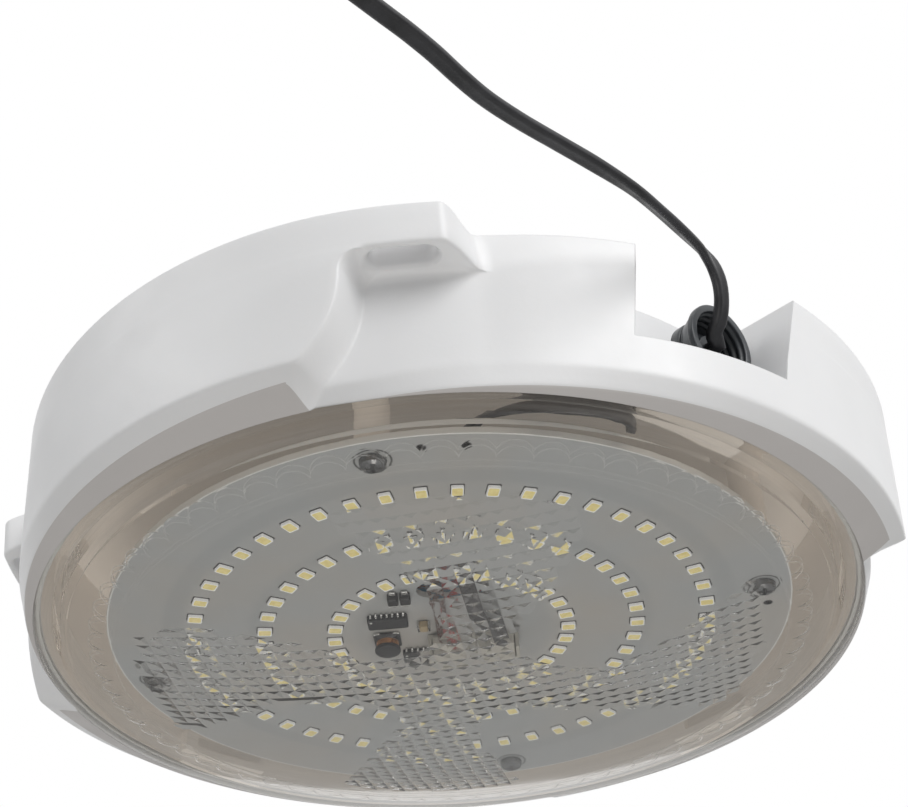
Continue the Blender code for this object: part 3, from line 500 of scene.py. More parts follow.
def make_white_plastic():
    look = Look("white_plastic", (0.83, 0.83, 0.835), 0.3)
    clouds = look.ranged(look.noise(0.05, 4), 0, 1)
    tone = look.mixed(clouds, (0.80, 0.80, 0.805), (0.85, 0.85, 0.855))
    specks = look.ranged(look.noise(0.0007, 2, 0.7), 0, 1, 0.70, 0.80)
    look.put("Base Color", look.mixed(look.times(specks, 0.15), tone, (0.70, 0.69, 0.67)))
    look.gloss(look.noise(0.02, 6, 0.65), 0.30, 0.48)
    look.bump(look.sum(look.noise(0.0012, 3), look.times(look.noise(0.03, 1), 4.0)), 0.00002, 0.0005)
    look.put("Subsurface Weight", 0.06)
    look.put("Subsurface Scale", 0.004)
    look.put("Subsurface Radius", (1.0, 0.9, 0.8))
    look.put("IOR", 1.5)
    return look.material


def make_inner_white():
    """The inside of the drum: unpolished, a warmer, darker copy of the white plastic as painted shade, and a
    faint painted glow for the light that comes through its thin walls.
    """
    look = moulded("inner_painted_shade_and_glow", (0.80, 0.75, 0.69), 0.55, 0.0009, 0.00002, 0.03)
    # painted glow: emission standing in for light that reaches the inside
    look.glow((1.0, 0.9, 0.8), 0.07)
    return look.material


def cover_ridges(look):
    """A line of scallops outside the board's edge and a fine mould line, as heights from 0 to 1."""
    radius, turn, _ = look.round_place()
    cell = look.math("SUBTRACT", look.math("FRACT", look.times(turn, scallops)), 0.5)
    along = look.times(cell, scallop_pitch)
    out = look.sum(radius, -scallop_radius)
    reach = look.math("SQRT", look.sum(look.times(along, along), look.times(out, out)))
    arc = look.math("ABSOLUTE", look.math("SUBTRACT", reach, scallop_arc))
    outside = look.math("GREATER_THAN", out, 0.0005)
    scallop = look.times(look.ranged(arc, 1, 0, 0.0, 0.0003), outside)
    mould_line = look.math("ABSOLUTE", look.math("SUBTRACT", radius, mould_line_radius))
    return look.sum(scallop, look.times(look.ranged(mould_line, 1, 0, 0.0, 0.0004), 0.4))


def make_clear_plastic(name, ior, softness, milk, grain, grain_share):
    """Clear polycarbonate with a little milk in it; its ridges are whitened as painted highlight. Without a
    grain it is the rim, which is streaky instead, with whitened streaks as painted highlight.
    """
    look = Look(name, (0.985, 0.985, 0.98), 0.03)
    look.put("Transmission Weight", 1.0)
    look.put("IOR", ior)
    look.put("Coat Weight", 0.3)
    look.put("Coat Roughness", 0.03)
    look.gloss(look.noise(0.02, 5, 0.6), softness, softness + 0.04)
    if grain:
        waves = look.times(look.noise(grain, 2), grain_share)
        ridges = cover_ridges(look)
        look.bump(look.sum(waves, look.times(ridges, 1.6)), 0.00003)
        # whitening the ridges with milk is a painted highlight for the light lines they show
        milk = look.sum(look.times(ridges, 0.2), milk)
    else:
        waves = look.times(look.noise(0.03, 2), grain_share)
        streaks = look.ranged(look.streaks(900, 8, 500), 0, 1, 0.45, 0.80)
        look.bump(look.sum(waves, streaks), 0.00002)
        # whitening the streaks is a painted highlight; the rim's higher milk is partly haze of the plastic,
        # partly painted light
        milk = look.sum(look.times(streaks, 0.12), milk)
    pale = look.add("BsdfDiffuse", {"Color": (0.70, 0.68, 0.66, 1)})
    milky = look.add("MixShader", {0: milk, 1: look.shader.outputs[0], 2: pale.outputs[0]})
    clear = look.add("BsdfTransparent", {"Color": (0.99, 0.98, 0.965, 1)})
    path = look.add("LightPath").outputs
    passing = look.math("MAXIMUM", path["Is Shadow Ray"], path["Is Diffuse Ray"])
    mix = look.add("MixShader", {0: passing, 1: milky.outputs[0], 2: clear.outputs[0]})
    fill(look.tree, look.tree.nodes["Material Output"].inputs["Surface"], mix.outputs[0])
    return look.material


def make_board_grey():
    """Solder mask over aluminium: faint tracks, warm patches, painted shade in a ring around each screw, small
    holes drawn as dark dots with the shade in them painted, a bright edge.
    """
    base = (0.47, 0.485, 0.49)
    look = Look("board_grey", base, 0.42, 0.2)
    clouds = look.ranged(look.noise(0.045, 3), 0, 1, 0.4, 0.65)
    tone = look.mixed(clouds, base, (0.505, 0.485, 0.455))
    settings = {"wave_type": "RINGS", "rings_direction": "SPHERICAL"}
    wave = look.add("TexWave", {"Vector": look.place, "Scale": 18, "Distortion": 0.4}, **settings)
    tracks = look.ranged(wave.outputs["Fac"], 0, 0.35, 0.8, 0.95)
    tone = look.mixed(tracks, tone, (0.37, 0.39, 0.40))
    # painted shade: a dark ring around each screw head
    distance = look.near(screw_places(-board_drop))
    rim = look.times(look.ranged(distance, 0, 1, 0.0037, 0.0039), look.ranged(distance, 1, 0, 0.0041, 0.0044))
    # the small holes, drawn as dark dots: the hole and the shade inside it are both painted
    hole_dots_and_shade = look.near([(x, y, -board_drop) for x, y in board_holes])
    hole_dots_and_shade = look.ranged(hole_dots_and_shade, 1, 0, 0.0010, 0.0013)
    tone = look.mixed(look.math("MAXIMUM", look.times(rim, 0.8), hole_dots_and_shade), tone, (0.02, 0.02, 0.02))
    edge = look.ranged(look.round_place()[0], 0, 1, 0.0840, 0.0842)
    look.put("Base Color", look.mixed(edge, tone, (0.86, 0.86, 0.84)))
    look.gloss(look.noise(0.006, 4), 0.34, 0.55)
    look.bump(look.sum(look.noise(0.0012, 2), tracks), 0.00002, 0.0003)
    return look.material


def make_phosphor():
    look = Look("led_phosphor_painted_glow", (0.80, 0.70, 0.28), 0.4)
    look.paint(look.noise(0.0012, 3), (0.74, 0.61, 0.20), (0.90, 0.79, 0.36))
    look.bump(look.noise(0.0004, 2), 0.00003)
    look.put("Coat Weight", 0.4)
    look.put("Coat Roughness", 0.15)
    # painted glow: the LEDs are off, this emission only brightens the phosphor
    look.glow((1.0, 0.86, 0.42), 0.10)
    return look.material


def make_led_package():
    look = moulded("led_package_painted_glow", (0.93, 0.93, 0.91), 0.35, 0.0005, 0.00001, 0.03)
    # painted glow: the LEDs are off, this emission only brightens the package
    look.glow((1.0, 1.0, 0.98), 0.12)
    return look.material


def make_cable_rubber():
    look = Look("cable_black", (0.022, 0.022, 0.025), 0.4)
    look.paint(look.noise(0.006, 3), (0.016, 0.016, 0.018), (0.034, 0.034, 0.038))
    look.gloss(look.noise(0.004, 4, 0.6), 0.28, 0.5)
    look.bump(look.noise(0.0006, 3), 0.00004)
    return look.material


def make_steel(name, colour, roughness):
    look = Look(name, colour, roughness, 1.0)
    brushed = look.noise(0.0015, 3, 0.6, (1, 1, 6))
    look.paint(brushed, shade(colour, 0.8), shade(colour, 1.1))
    look.gloss(look.noise(0.003, 4), roughness * 0.7, roughness * 1.5)
    look.bump(brushed, 0.00002, 0.0002)
    return look.material


looks = {
    "white_plastic": make_white_plastic(),
    "inner_painted_shade_and_glow": make_inner_white(),
    "board_grey": make_board_grey(),
    "led_phosphor_painted_glow": make_phosphor(),
    "led_package_painted_glow": make_led_package(),
    "cable_black": make_cable_rubber(),
}
# Index of refraction, softness, milk, size of the grain and its height
clear_looks = {
    "clear_plastic": (1.2, 0.01, 0.012, 0.03, 0.6),
    "clear_prisms": (1.2, 0.07, 0.09, 0.0011, 1.2),
    "clear_rim": (1.03, 0.01, 0.035, None, 0.6),
}
# Colour, roughness, size and depth of the grain, and spread of the colour
moulded_looks = {
    # ceiling_side_painted_shade: the face against the ceiling, the same white plastic painted grey as shade
    "ceiling_side_painted_shade": ((0.50, 0.50, 0.50), 0.7, 0.0009, 0.00002, 0.06),
    # cone_painted_shade: the downward cone, the same white plastic painted darker and warmer as shade
    "cone_painted_shade": ((0.60, 0.575, 0.56), 0.5, 0.0007, 0.00002, 0.04),
    "seal_rubber": ((0.62, 0.62, 0.60), 0.7, 0.0006, 0.00003, 0.06),
    # painted_shade_frame: the dark frame at each LED's base, painted shadow
    "painted_shade_frame": ((0.035, 0.035, 0.035), 0.4, 0.0005, 0.00002, 0.2),
    "black_plastic": ((0.045, 0.05, 0.056), 0.33, 0.0007, 0.00003, 0.25),
    "chip_black": ((0.028, 0.028, 0.030), 0.5, 0.0004, 0.00002, 0.25),
    "capacitor_tan": ((0.42, 0.33, 0.20), 0.45, 0.0006, 0.00002, 0.06),
    "connector_white": ((0.50, 0.48, 0.43), 0.45, 0.0007, 0.00002, 0.06),
    "wire_red": ((0.40, 0.045, 0.04), 0.4, 0.0008, 0.00003, 0.15),
    "wire_brown": ((0.12, 0.06, 0.05), 0.4, 0.0008, 0.00003, 0.15),
    "cell_wrap": ((0.09, 0.30, 0.54), 0.3, 0.004, 0.00003, 0.1),
    "tray_white": ((0.72, 0.72, 0.70), 0.5, 0.0009, 0.00002, 0.06),
}
# Colour and roughness
steel_looks = {
    "screw_steel": ((0.24, 0.24, 0.24), 0.2),
    "tin": ((0.72, 0.72, 0.70), 0.25),
    "copper": ((0.62, 0.30, 0.14), 0.3),
    "nickel": ((0.62, 0.61, 0.58), 0.3),
}
for name, values in clear_looks.items():
    looks[name] = make_clear_plastic(name, *values)
for name, values in moulded_looks.items():
    looks[name] = moulded(name, *values).material
for name, values in steel_looks.items():
    looks[name] = make_steel(name, *values)

# The nodes that the scene carries over as they are
node_looks = {
    "seal_rubber": ["cover_gasket"],
    "board_grey": ["led_board"],
    "connector_white": ["battery_socket", "battery_plug", "solar_socket", "solar_plug"],
    "tray_white": ["battery_tray"],
    "cell_wrap": ["battery_cell_1", "battery_cell_2"],
    "nickel": ["cell_strip_plus", "cell_strip_minus"],
    "wire_red": ["battery_wire_red"],
    "wire_brown": ["battery_wire_black"],
    "black_plastic": ["socket_nut", "cable_plug"],
    "white_plastic": ["ceiling_outlet"],
    "screw_steel": [f"board_screw_{k}" for k in (1, 2, 3, 4)] + ["tray_screw_1", "tray_screw_2"],
}
for look_name, dressed in node_looks.items():
    for name in dressed:
        nodes[name].data.materials.clear()
        nodes[name].data.materials.append(looks[look_name])


# ---------------------------------------------------------------- shapes


def add_object(name, data):
    made = bpy.data.objects.new(name, data)
    bpy.context.scene.collection.objects.link(made)
    return made


def dress(data, *names):
    for name in names:
        data.materials.append(looks[name])


def piece(name, data, body, slot, replaced, angle):
    """An object of that mesh, shaded smooth but for its edges, which rides on a body."""
    made = add_object(name, data)
    if angle:
        data.shade_smooth()
        data.set_sharp_from_angle(angle=math.radians(angle))
    if not data.materials:
        dress(data, slot)
    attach(made, body)
    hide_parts(replaced)
    return made


def mesh_of(name, shape):
    bmesh.ops.recalc_face_normals(shape, faces=shape.faces)
    data = bpy.data.meshes.new(name)
    shape.to_mesh(data)
    shape.free()
    return data


def loft(rings, shape=None, closed=False, look=0, cap_look=None):
    """Rows of faces between rings of points, capped at both ends, or closed from the last ring to the first."""
    shape = bmesh.new() if shape is None else shape
    rows = [[shape.verts.new(point) for point in ring] for ring in rings]
    count = len(rows[0])
    for low, high in zip(rows, rows[1:] + rows[:1] if closed else rows[1:]):
        for i in range(count):
            j = (i + 1) % count
            shape.faces.new([low[i], low[j], high[j], high[i]]).material_index = look
    if not closed:
        shape.faces.new(list(reversed(rows[0]))).material_index = look
        shape.faces.new(rows[-1]).material_index = look if cap_look is None else cap_look
    return shape


def cut_corners(half_x, half_y, cut):
    """The points of a rectangle about the origin with its corners cut."""
    points = []
    for sx, sy in ((1, 1), (-1, 1), (-1, -1), (1, -1)):
        pair = [(sx * half_x, sy * (half_y - cut)), (sx * (half_x - cut), sy * half_y)]
        points += reversed(pair) if sx * sy < 0 else pair
    return points


def turned(profile, sides, place=None, look=0):
    """A profile of radius and height, turned about Z. It may start and end on the axis."""
    place = place or Matrix.Identity(4)
    shape = bmesh.new()
    rows = []
    for radius, z in profile:
        if radius == 0:
            rows.append([shape.verts.new(place @ Vector((0, 0, z)))])
            continue
        rows.append([shape.verts.new(place @ polar(radius, 360 * i / sides, z)) for i in range(sides)])
    pairs = list(zip(rows, rows[1:]))
    if len(rows[0]) > 1:
        pairs.append((rows[-1], rows[0]))
    for low, high in pairs:
        for i in range(sides):
            j = (i + 1) % sides
            ring = [low[i % len(low)], low[j % len(low)], high[j % len(high)], high[i % len(high)]]
            face = list(dict.fromkeys(ring))
            if len(face) > 2:
                shape.faces.new(face).material_index = look
    return shape


def arc_share(first, corner, last, t):
    return first * (1 - t) ** 2 + corner * (2 * t * (1 - t)) + last * t * t


def rounded(points, radius, parts=4):
    """A profile with its inner corners rounded."""
    made = [points[0]]
    for before, corner, after in zip(points, points[1:], points[2:]):
        a, p, b = (Vector(point) for point in (before, corner, after))
        reach = min(radius, (a - p).length / 2, (b - p).length / 2)
        start = p + (a - p).normalized() * reach
        end = p + (b - p).normalized() * reach
        made += [tuple(arc_share(start, p, end, k / parts)) for k in range(parts + 1)]
    made.append(points[-1])
    return made


def sector(inner, outer, start, end, low, high, parts):
    turns = [between(start, end, i / parts) for i in range(parts + 1)]
    outline = [polar(inner, turn) for turn in turns] + [polar(outer, turn) for turn in reversed(turns)]
    return loft([[point + Vector((0, 0, z)) for point in outline] for z in (low, high)])


def rod(radius, low, high, sides, centre):
    return turned([(0, low), (radius, low), (radius, high), (0, high)], sides, Matrix.Translation(centre))


def stadium(length, width, parts):
    points = []
    for side in (1, -1):
        centre = Vector((0, side * (length - width) / 2, 0))
        points += [centre + polar(side * width / 2, 180 * i / parts) for i in range(parts + 1)]
    return points


def join_part(whole, part):
    data = mesh_of("part", part)
    whole.from_mesh(data)
    bpy.data.meshes.remove(data)


def gathered(parts):
    whole = bmesh.new()
    for part in parts:
        join_part(whole, part)
    return whole


def carved(name, shape, steps):
    """The shape after its Boolean steps, as one mesh."""
    base = add_object(name, mesh_of(name, shape))
    tools = []
    for operation, tool_shape in steps:
        tool = add_object("tool", mesh_of("tool", tool_shape))
        modifier = base.modifiers.new("cut", "BOOLEAN")
        modifier.operation = operation
        modifier.object = tool
        modifier.solver = "EXACT"
        tools.append(tool)
    bpy.context.view_layer.update()
    graph = bpy.context.evaluated_depsgraph_get()
    data = bpy.data.meshes.new_from_object(base.evaluated_get(graph))
    for old in tools + [base]:
        bpy.data.objects.remove(old)
    return data


# ---------------------------------------------------------------- housing


def skirt_growth(turn):
    share = min(1, max(0, (turn - skirt_start_turn) / (skirt_full_turn - skirt_start_turn)))
    return eased(share * share * (1 + growth_start) / (share + growth_start))


def pocket_share(turn):
    return smooth_share((turn + step_top_turn) / (skirt_start_turn + step_top_turn))


def wall_radius(turn, drop):
    grown = skirt_growth(turn)
    return between(skirt_start_radius, outer_radius, grown) - wall_draft * grown * min(1, drop / board_drop)


def wall_end_drop(turn):
    first = between(pocket_wall_drop, skirt_start_wall_drop, pocket_share(turn))
    return between(first, skirt_full_wall_drop, skirt_growth(turn))


def chamfer_run(turn):
    return wall_radius(turn, board_drop) - cone_edge_radius - cone_edge_growth * turn


def cone_edge(turn):
    """Radius at which the chamfer meets the cone, with its step from one skirt to the next."""
    step = step_turn(step_low_drop)
    if turn < step:
        return cone_edge_radius + cone_edge_growth * turn
    high, low = (cone_edge_radius + cone_edge_growth * mark for mark in (step, turn - quarter))
    return between(high, low, smooth_share((turn - step) / step_width))


def cone_drop(radius):
    return rim_drop - cone_slope * (radius - cone_radius)


def ear_radius(turn, drop):
    end = skirt_start_turn + ear_end_lean * drop / ear_thickness
    grown = smooth_share((turn - ear_flat_turn) / (end - ear_flat_turn))
    lean = wall_draft * (1 - grown) * min(1, drop / board_drop)
    return max(between(outer_radius, skirt_start_radius, grown) - lean, wall_radius(turn, drop))


def step_turn(drop):
    share = max(0, (drop - step_top_drop) / (step_full_drop - step_top_drop))
    rise = min(1, max(0, (ear_thickness + step_fillet_height - drop) / step_fillet_height))
    fillet = step_fillet_turn * (1 - math.sqrt(1 - rise * rise))
    return quarter - step_top_turn + fillet - step_sweep_turn * share**step_power


def wall_point(turn, height, chamfer):
    drop = between(ear_thickness, wall_end_drop(turn), height)
    radius = wall_radius(turn, drop)
    low_radius = radius - chamfer_run(turn)
    return between(radius, low_radius, chamfer), between(drop, cone_drop(low_radius), chamfer)


# Outside; the cone around the cover, painted darker as shade; inside, painted warmer and darker as shade with a
# faint painted glow; and the ceiling side, painted grey as shade
housing_looks = ("white_plastic", "cone_painted_shade", "inner_painted_shade_and_glow", "ceiling_side_painted_shade")
skirt_columns = 84
flank_columns = 14
ear_columns = 48


def drum_turns(step):
    skirt = [between(skirt_start_turn, step, i / (skirt_columns - 1)) for i in range(skirt_columns)]
    zone = []
    for i in range(flank_columns):
        share = (i + 1) / flank_columns
        zone.append((step + step_width * share - quarter, smooth_share(share)))
    last = zone[-1][0]
    for i in range(ear_columns):
        zone.append((between(last, skirt_start_turn, (i + 1) / (ear_columns + 1)), 1))
    return skirt, zone


def drum_ring(height, chamfer=0.0):
    """Angle, radius and drop of each column at one level of the wall."""
    points = []
    nominal = between(between(ear_thickness, board_drop, height), step_low_drop, chamfer)
    step = step_turn(nominal)
    skirt, zone = drum_turns(step)
    edge_radius, edge_drop = wall_point(step, height, chamfer)
    for start in ear_starts:
        for turn in skirt:
            points.append((start + turn, *wall_point(turn, height, chamfer)))
        for turn, depth in zone:
            radius, drop = wall_point(turn, height, chamfer)
            radius, drop = between(edge_radius, radius, depth), between(edge_drop, drop, depth)
            points.append((start + quarter + turn, radius, drop))
    return points


def ear_ring(drop):
    """The same as drum_ring, at one level of the ears."""
    points = []
    skirt, zone = drum_turns(step_turn(0))
    for start in ear_starts:
        points += [(start + turn, ear_radius(turn, drop), drop) for turn in skirt]
        points += [(start + quarter + turn, ear_radius(turn, drop), drop) for turn, _ in zone]
    return points


def bent(first, corner, last, parts=4):
    """Rings that round the corner between two others."""
    rows = list(zip(first, corner, last))
    return [[arc_share(*row, k / parts) for row in rows] for k in range(1, parts)]


def wall_level(height, chamfer=0.0):
    return [polar(radius, angle, -drop) for angle, radius, drop in drum_ring(height, chamfer)]


def cone_level(inset=None):
    """The chamfer's lower end moved in along the cone, or the ring where the cone ends."""
    ends = [(a, cone_inner_radius if inset is None else r - inset) for a, r, _ in drum_ring(1, 1)]
    return [polar(r, a, -cone_drop(r)) for a, r in ends]


def ear_edge_rings(side, wall):
    """The ear's lower edge, and the start of the fillet under it. Where there is no ear they lie on the wall,
    a little apart in height."""
    corner, below, inner = [], [], []
    for (angle, ear, _), (_, radius, _) in zip(side, wall):
        over = ear - radius
        flat = 1 - min(1, max(0, over / ear_low_edge))
        corner.append(polar(ear, angle, -ear_thickness))
        low = -ear_thickness - flat * column_step / 3
        below.append(polar(ear - min(ear_low_edge, over * 0.3), angle, low))
        inner.append(polar(radius + min(ear_fillet, over * 0.6), angle, -ear_thickness - flat * column_step))
    return corner, below, inner


def ear_fillet_ring(share, side, wall):
    ring = []
    level = drum_ring(share * ear_fillet / (board_drop - ear_thickness))
    for (angle, radius, drop), (_, ear, _), (_, first, _) in zip(level, side, wall):
        reach = min(ear_fillet, max(0, ear - first) * 0.6)
        ring.append(polar(radius + reach * (1 - math.sqrt(1 - (1 - share) ** 2)), angle, -drop))
    return ring


def drum_shape():
    top, side, wall = ear_ring(0), ear_ring(ear_thickness), drum_ring(0)
    low_edge = ear_low_edge - ear_thickness
    rings = [[polar(r - drum_edge, a, 0) for a, r, _ in top]]
    low = [polar(r, a, -drum_edge) for a, r, _ in top]
    rings += bent(rings[0], [polar(r, a, 0) for a, r, _ in top], low) + [low]
    for share in (0.35, 0.65):
        z = between(-drum_edge, low_edge, share)
        rings.append([polar(between(r, s, share), a, z) for (a, r, _), (_, s, _) in zip(top, side)])
    above = [polar(r, a, low_edge) for a, r, _ in side]
    corner, below, inner = ear_edge_rings(side, wall)
    rings += [above] + bent(above, corner, below) + [below, inner]
    rings += [ear_fillet_ring(share, side, wall) for share in (0.03, 0.1, 0.22, 0.4, 0.65, 1)]
    wall_shares = (0.13, 0.16, 0.19, 0.24, 0.3, 0.38, 0.46, 0.54, 0.61, 0.68, 0.74, 0.8, 0.85, 0.9)
    rings += [wall_level(share) for share in wall_shares]
    before, after = wall_level(0.955), wall_level(1, 0.16)
    rings += [before] + bent(before, wall_level(1), after, 5) + [after]
    rings += [wall_level(1, share) for share in (0.4, 0.65)]
    before, after = wall_level(1, 0.86), cone_level(drum_edge)
    rings += [before] + bent(before, wall_level(1, 1), after) + [after, cone_level()]
    shape = loft(rings)
    bmesh.ops.triangulate(shape, faces=[face for face in shape.faces if len(face.verts) > 4])
    return shape


def cup_axis():
    flat = polar(1, cup_angle) * math.cos(math.radians(cup_dip))
    return Vector((flat.x, flat.y, -math.sin(math.radians(cup_dip))))


def cup_place():
    return Matrix.Translation(cup_centre) @ cup_axis().to_track_quat("Z", "Y").to_matrix().to_4x4()


def notch_angles(drop):
    share = drop / notch_drop
    sides = zip(notch_top_turns, notch_floor_turns)
    return [first_ear_angle + between(top, floor, share) for top, floor in sides]


def notch_cut():
    rings = []
    for drop in (-cut_overrun, notch_drop):
        left, right = notch_angles(drop)
        turns = [between(left, right, i / 12) for i in range(13)]
        outline = [polar(notch_back_radius, turn, -drop) for turn in turns]
        outline += [polar(outer_radius + cut_overrun, turn, -drop) for turn in reversed(turns)]
        rings.append(outline)
    return loft(rings)


def tray_screw_places():
    return [Vector((side * tray_screw_x, battery_centre_y, 0)) for side in (-1, 1)]


def slot_cut(start):
    place = Matrix.Rotation(math.radians(start), 4, "Z")
    place = place @ Matrix.Translation((slot_radius, 0, 0))
    lip, low = slot_chamfer, -ear_thickness
    levels = [(0, cut_overrun), (0, lip * 1.4 + low), (lip * 0.12, lip + low), (lip * 0.45, lip * 0.45 + low)]
    levels += [(lip, low - 0.00002), (lip * 1.8, low - 0.0006)]
    rings = []
    for grow, z in levels:
        outline = stadium(slot_length + 2 * grow, slot_width + 2 * grow, 16)
        rings.append([place @ (point + Vector((0, 0, z))) for point in outline])
    return loft(rings)


def hollow_cut(start):
    """The space between two walls of a skirt. In the first one the cable's notch takes a part of it."""
    first, last = hollow_turns
    if start == first_ear_angle:
        first = notch_top_turns[1] + math.degrees(2 * shell_wall / notch_back_radius)
    turns = [between(first, last, i / 20) for i in range(21)]
    outline = [polar(cavity_radius + shell_wall, start + turn) for turn in turns]
    outer = [polar(wall_radius(turn, hollow_depth) - shell_wall, start + turn) for turn in turns]
    outline += reversed(outer)
    return loft([[point + Vector((0, 0, z)) for point in outline] for z in (cut_overrun, -hollow_depth)])


def housing_look(place, normal):
    """Which look a face of the housing has, as a place in housing_looks."""
    radius = place.xy.length
    angle = math.degrees(math.atan2(place.y, place.x)) - first_ear_angle
    on_cone = cone_inner_radius < radius < cone_edge(angle % quarter) - face_margin / 2
    # the downward cone takes the darker painted shade
    if on_cone and normal.z < -0.5 and place.z < -seat_drop + sink:
        return 1
    # the ceiling side takes the grey painted shade
    if normal.z > 0.9 and place.z > -drum_edge:
        return 3
    if radius > cavity_radius + face_margin or place.z > -roof_thickness + face_margin:
        return 0
    left, right = (angle - first_ear_angle for angle in notch_angles(min(notch_drop, -place.z)))
    in_notch = left - 0.1 < angle % 360 < right + 0.1 and radius > notch_back_radius - face_margin
    # the rest of the inside takes the warm painted shade and glow
    return 0 if in_notch and place.z > -notch_drop - face_margin else 2


def housing_inside():
    seat, mouth = -seat_drop, -rim_drop - cut_overrun
    profile = [(0, -roof_thickness), (cavity_radius, -roof_thickness), (cavity_radius, seat)]
    return turned(profile + [(rebate_radius, seat), (rebate_radius, mouth), (0, mouth)], inside_sides)


def notch_box():
    left, right = notch_angles(0)
    spread = math.degrees(notch_wall / notch_back_radius)
    start = min(left, notch_angles(notch_drop)[0]) - spread
    inner, outer = notch_back_radius - notch_wall, cavity_radius + sink
    low, high = -(notch_drop + notch_wall), sink - roof_thickness
    return sector(inner, outer, start, right + spread, low, high, 24)


def ledge_parts():
    """The ledges that carry the cover's lugs, each with a stop at its end."""
    top, outer = -(collar_top_drop + lug_height + touch_gap), cavity_radius + sink
    low = top - ledge_height
    shelves, stops = [], []
    for i in range(4):
        angle = first_lug_angle + quarter * i
        start = angle + lug_half_turn + stop_gap_turn
        end = start + stop_turn
        shelves.append(sector(ledge_radius, outer, angle - ledge_lead_turn, end, low, top, 12))
        stops.append(sector(ledge_radius, outer, start, end, low + stop_sink, top + stop_height, 3))
    return shelves, stops


def neck_hole():
    hole = cup_neck_radius + touch_gap
    profile = [(0, -cup_neck_end), (hole, -cup_neck_end), (hole, -cup_cone_end), (0, -cup_cone_end)]
    return turned(profile, 40, cup_place())


def make_housing():
    boss_end = -(board_drop - board_thickness - touch_gap)
    ends = [(boss_end, place) for place in screw_places()]
    ends += [(-tray_boss_drop, place) for place in tray_screw_places()]
    bosses = [rod(boss_radius, low, sink - roof_thickness, boss_sides, place) for low, place in ends]
    shelves, stops = ledge_parts()
    cuts = [notch_cut()] + [cut(start) for cut in (hollow_cut, slot_cut) for start in ear_starts]
    pilot = (boss_end - cut_overrun, boss_end + pilot_depth)
    cuts += [rod(pilot_radius, *pilot, pilot_sides, place) for place in screw_places()]
    pilot = (-tray_boss_drop - cut_overrun, -roof_thickness / 2)
    cuts += [rod(pilot_radius, *pilot, pilot_sides, place) for place in tray_screw_places()]
    steps = [("DIFFERENCE", housing_inside()), ("UNION", notch_box()), ("UNION", gathered(bosses))]
    steps += [("UNION", gathered(shelves)), ("UNION", gathered(stops))]
    steps += [("DIFFERENCE", neck_hole()), ("DIFFERENCE", gathered(cuts))]
    data = carved("housing_shell", drum_shape(), steps)
    data.materials.clear()
    dress(data, *housing_looks)
    for face in data.polygons:
        face.material_index = housing_look(face.center, face.normal)
    piece("housing_shell", data, "fixed_light", "white_plastic", "housing", 38)


# ---------------------------------------------------------------- cover


def dome_height(radius, offset=0.0):
    rise = dome_drop - dome_edge_drop
    sphere = (dome_edge_radius**2 + rise**2) / (2 * rise)
    return -(dome_drop - sphere + math.sqrt(max(0.0, (sphere - offset) ** 2 - radius**2)))


def window_outlines():
    """The plain windows as closed outlines in the light's frame, in metres."""
    made = []
    turn = Matrix.Rotation(view_turn, 3, "Z")
    for window in windows:
        points = [turn @ Vector((x / 1000, y / 1000, 0)) for x, y in window]
        made.append([point.xy for point in smooth_route(points + points[:1], window_spacing)[:-1]])
    return made


def inside_outline(point, outline):
    crossed = False
    for a, b in zip(outline, outline[1:] + outline[:1]):
        if (a.y > point.y) != (b.y > point.y) and point.x < a.x + (point.y - a.y) * (b.x - a.x) / (b.y - a.y):
            crossed = not crossed
    return crossed


def in_window(point, outlines):
    return any(inside_outline(point, outline) for outline in outlines)


def lobe_edges(outlines):
    """The edge of the four lobes: the windows' outlines as far as the prisms reach, and arcs between them."""
    edge = [point for outline in outlines for point in outline if point.length < prism_reach]
    arc = [polar(prism_reach, 360 * k / arc_points).xy for k in range(arc_points)]
    return edge + [point for point in arc if not in_window(point, outlines)]


def prism_field():
    """Points of the prisms with their heights, the edges between cells, and which points are prism tips."""
    outlines = window_outlines()
    rim = lobe_edges(outlines)
    rim_x, rim_y = np.array([tuple(point) for point in rim]).T
    turn = Matrix.Rotation(math.radians(prism_turn), 2)
    reach, fill_reach = int(prism_reach / prism_pitch) + 2, int(prism_reach / fill_pitch)

    def grid_points(count, pitch, shift, place, margin, windowed):
        """Points of a square grid on one side of the lobes' edge, and away from it by the margin."""
        for i in range(-count, count + 1):
            for j in range(-count, count + 1):
                point = place @ Vector(((i - shift) * pitch, (j - shift) * pitch))
                if point.length > prism_reach - margin or in_window(point, outlines) != windowed:
                    continue
                if np.min(np.hypot(rim_x - point.x, rim_y - point.y)) >= margin:
                    yield (i, j), point

    points, index, edges = [], {}, set()
    for key, point in grid_points(reach, prism_pitch, 0.5, turn, corner_margin, False):
        index[key] = len(points)
        points.append(point)
    for (i, j), start in index.items():
        for key in ((i + 1, j), (i, j + 1)):
            if key in index:
                edges.add((start, index[key]))
    heights = [dome_height(point.length, cover_wall) for point in points]
    tips = [point for _, point in grid_points(reach, prism_pitch, 0, turn, tip_margin, False)]
    tip_numbers = set(range(len(points), len(points) + len(tips)))
    heights += [dome_height(point.length, cover_wall) + prism_height for point in tips]
    upright = Matrix.Identity(2)
    plain = rim + [point for _, point in grid_points(fill_reach, fill_pitch, 0, upright, fill_margin, True)]
    heights += [dome_height(point.length, cover_wall) for point in plain]
    return points + tips + plain, heights, edges, tip_numbers


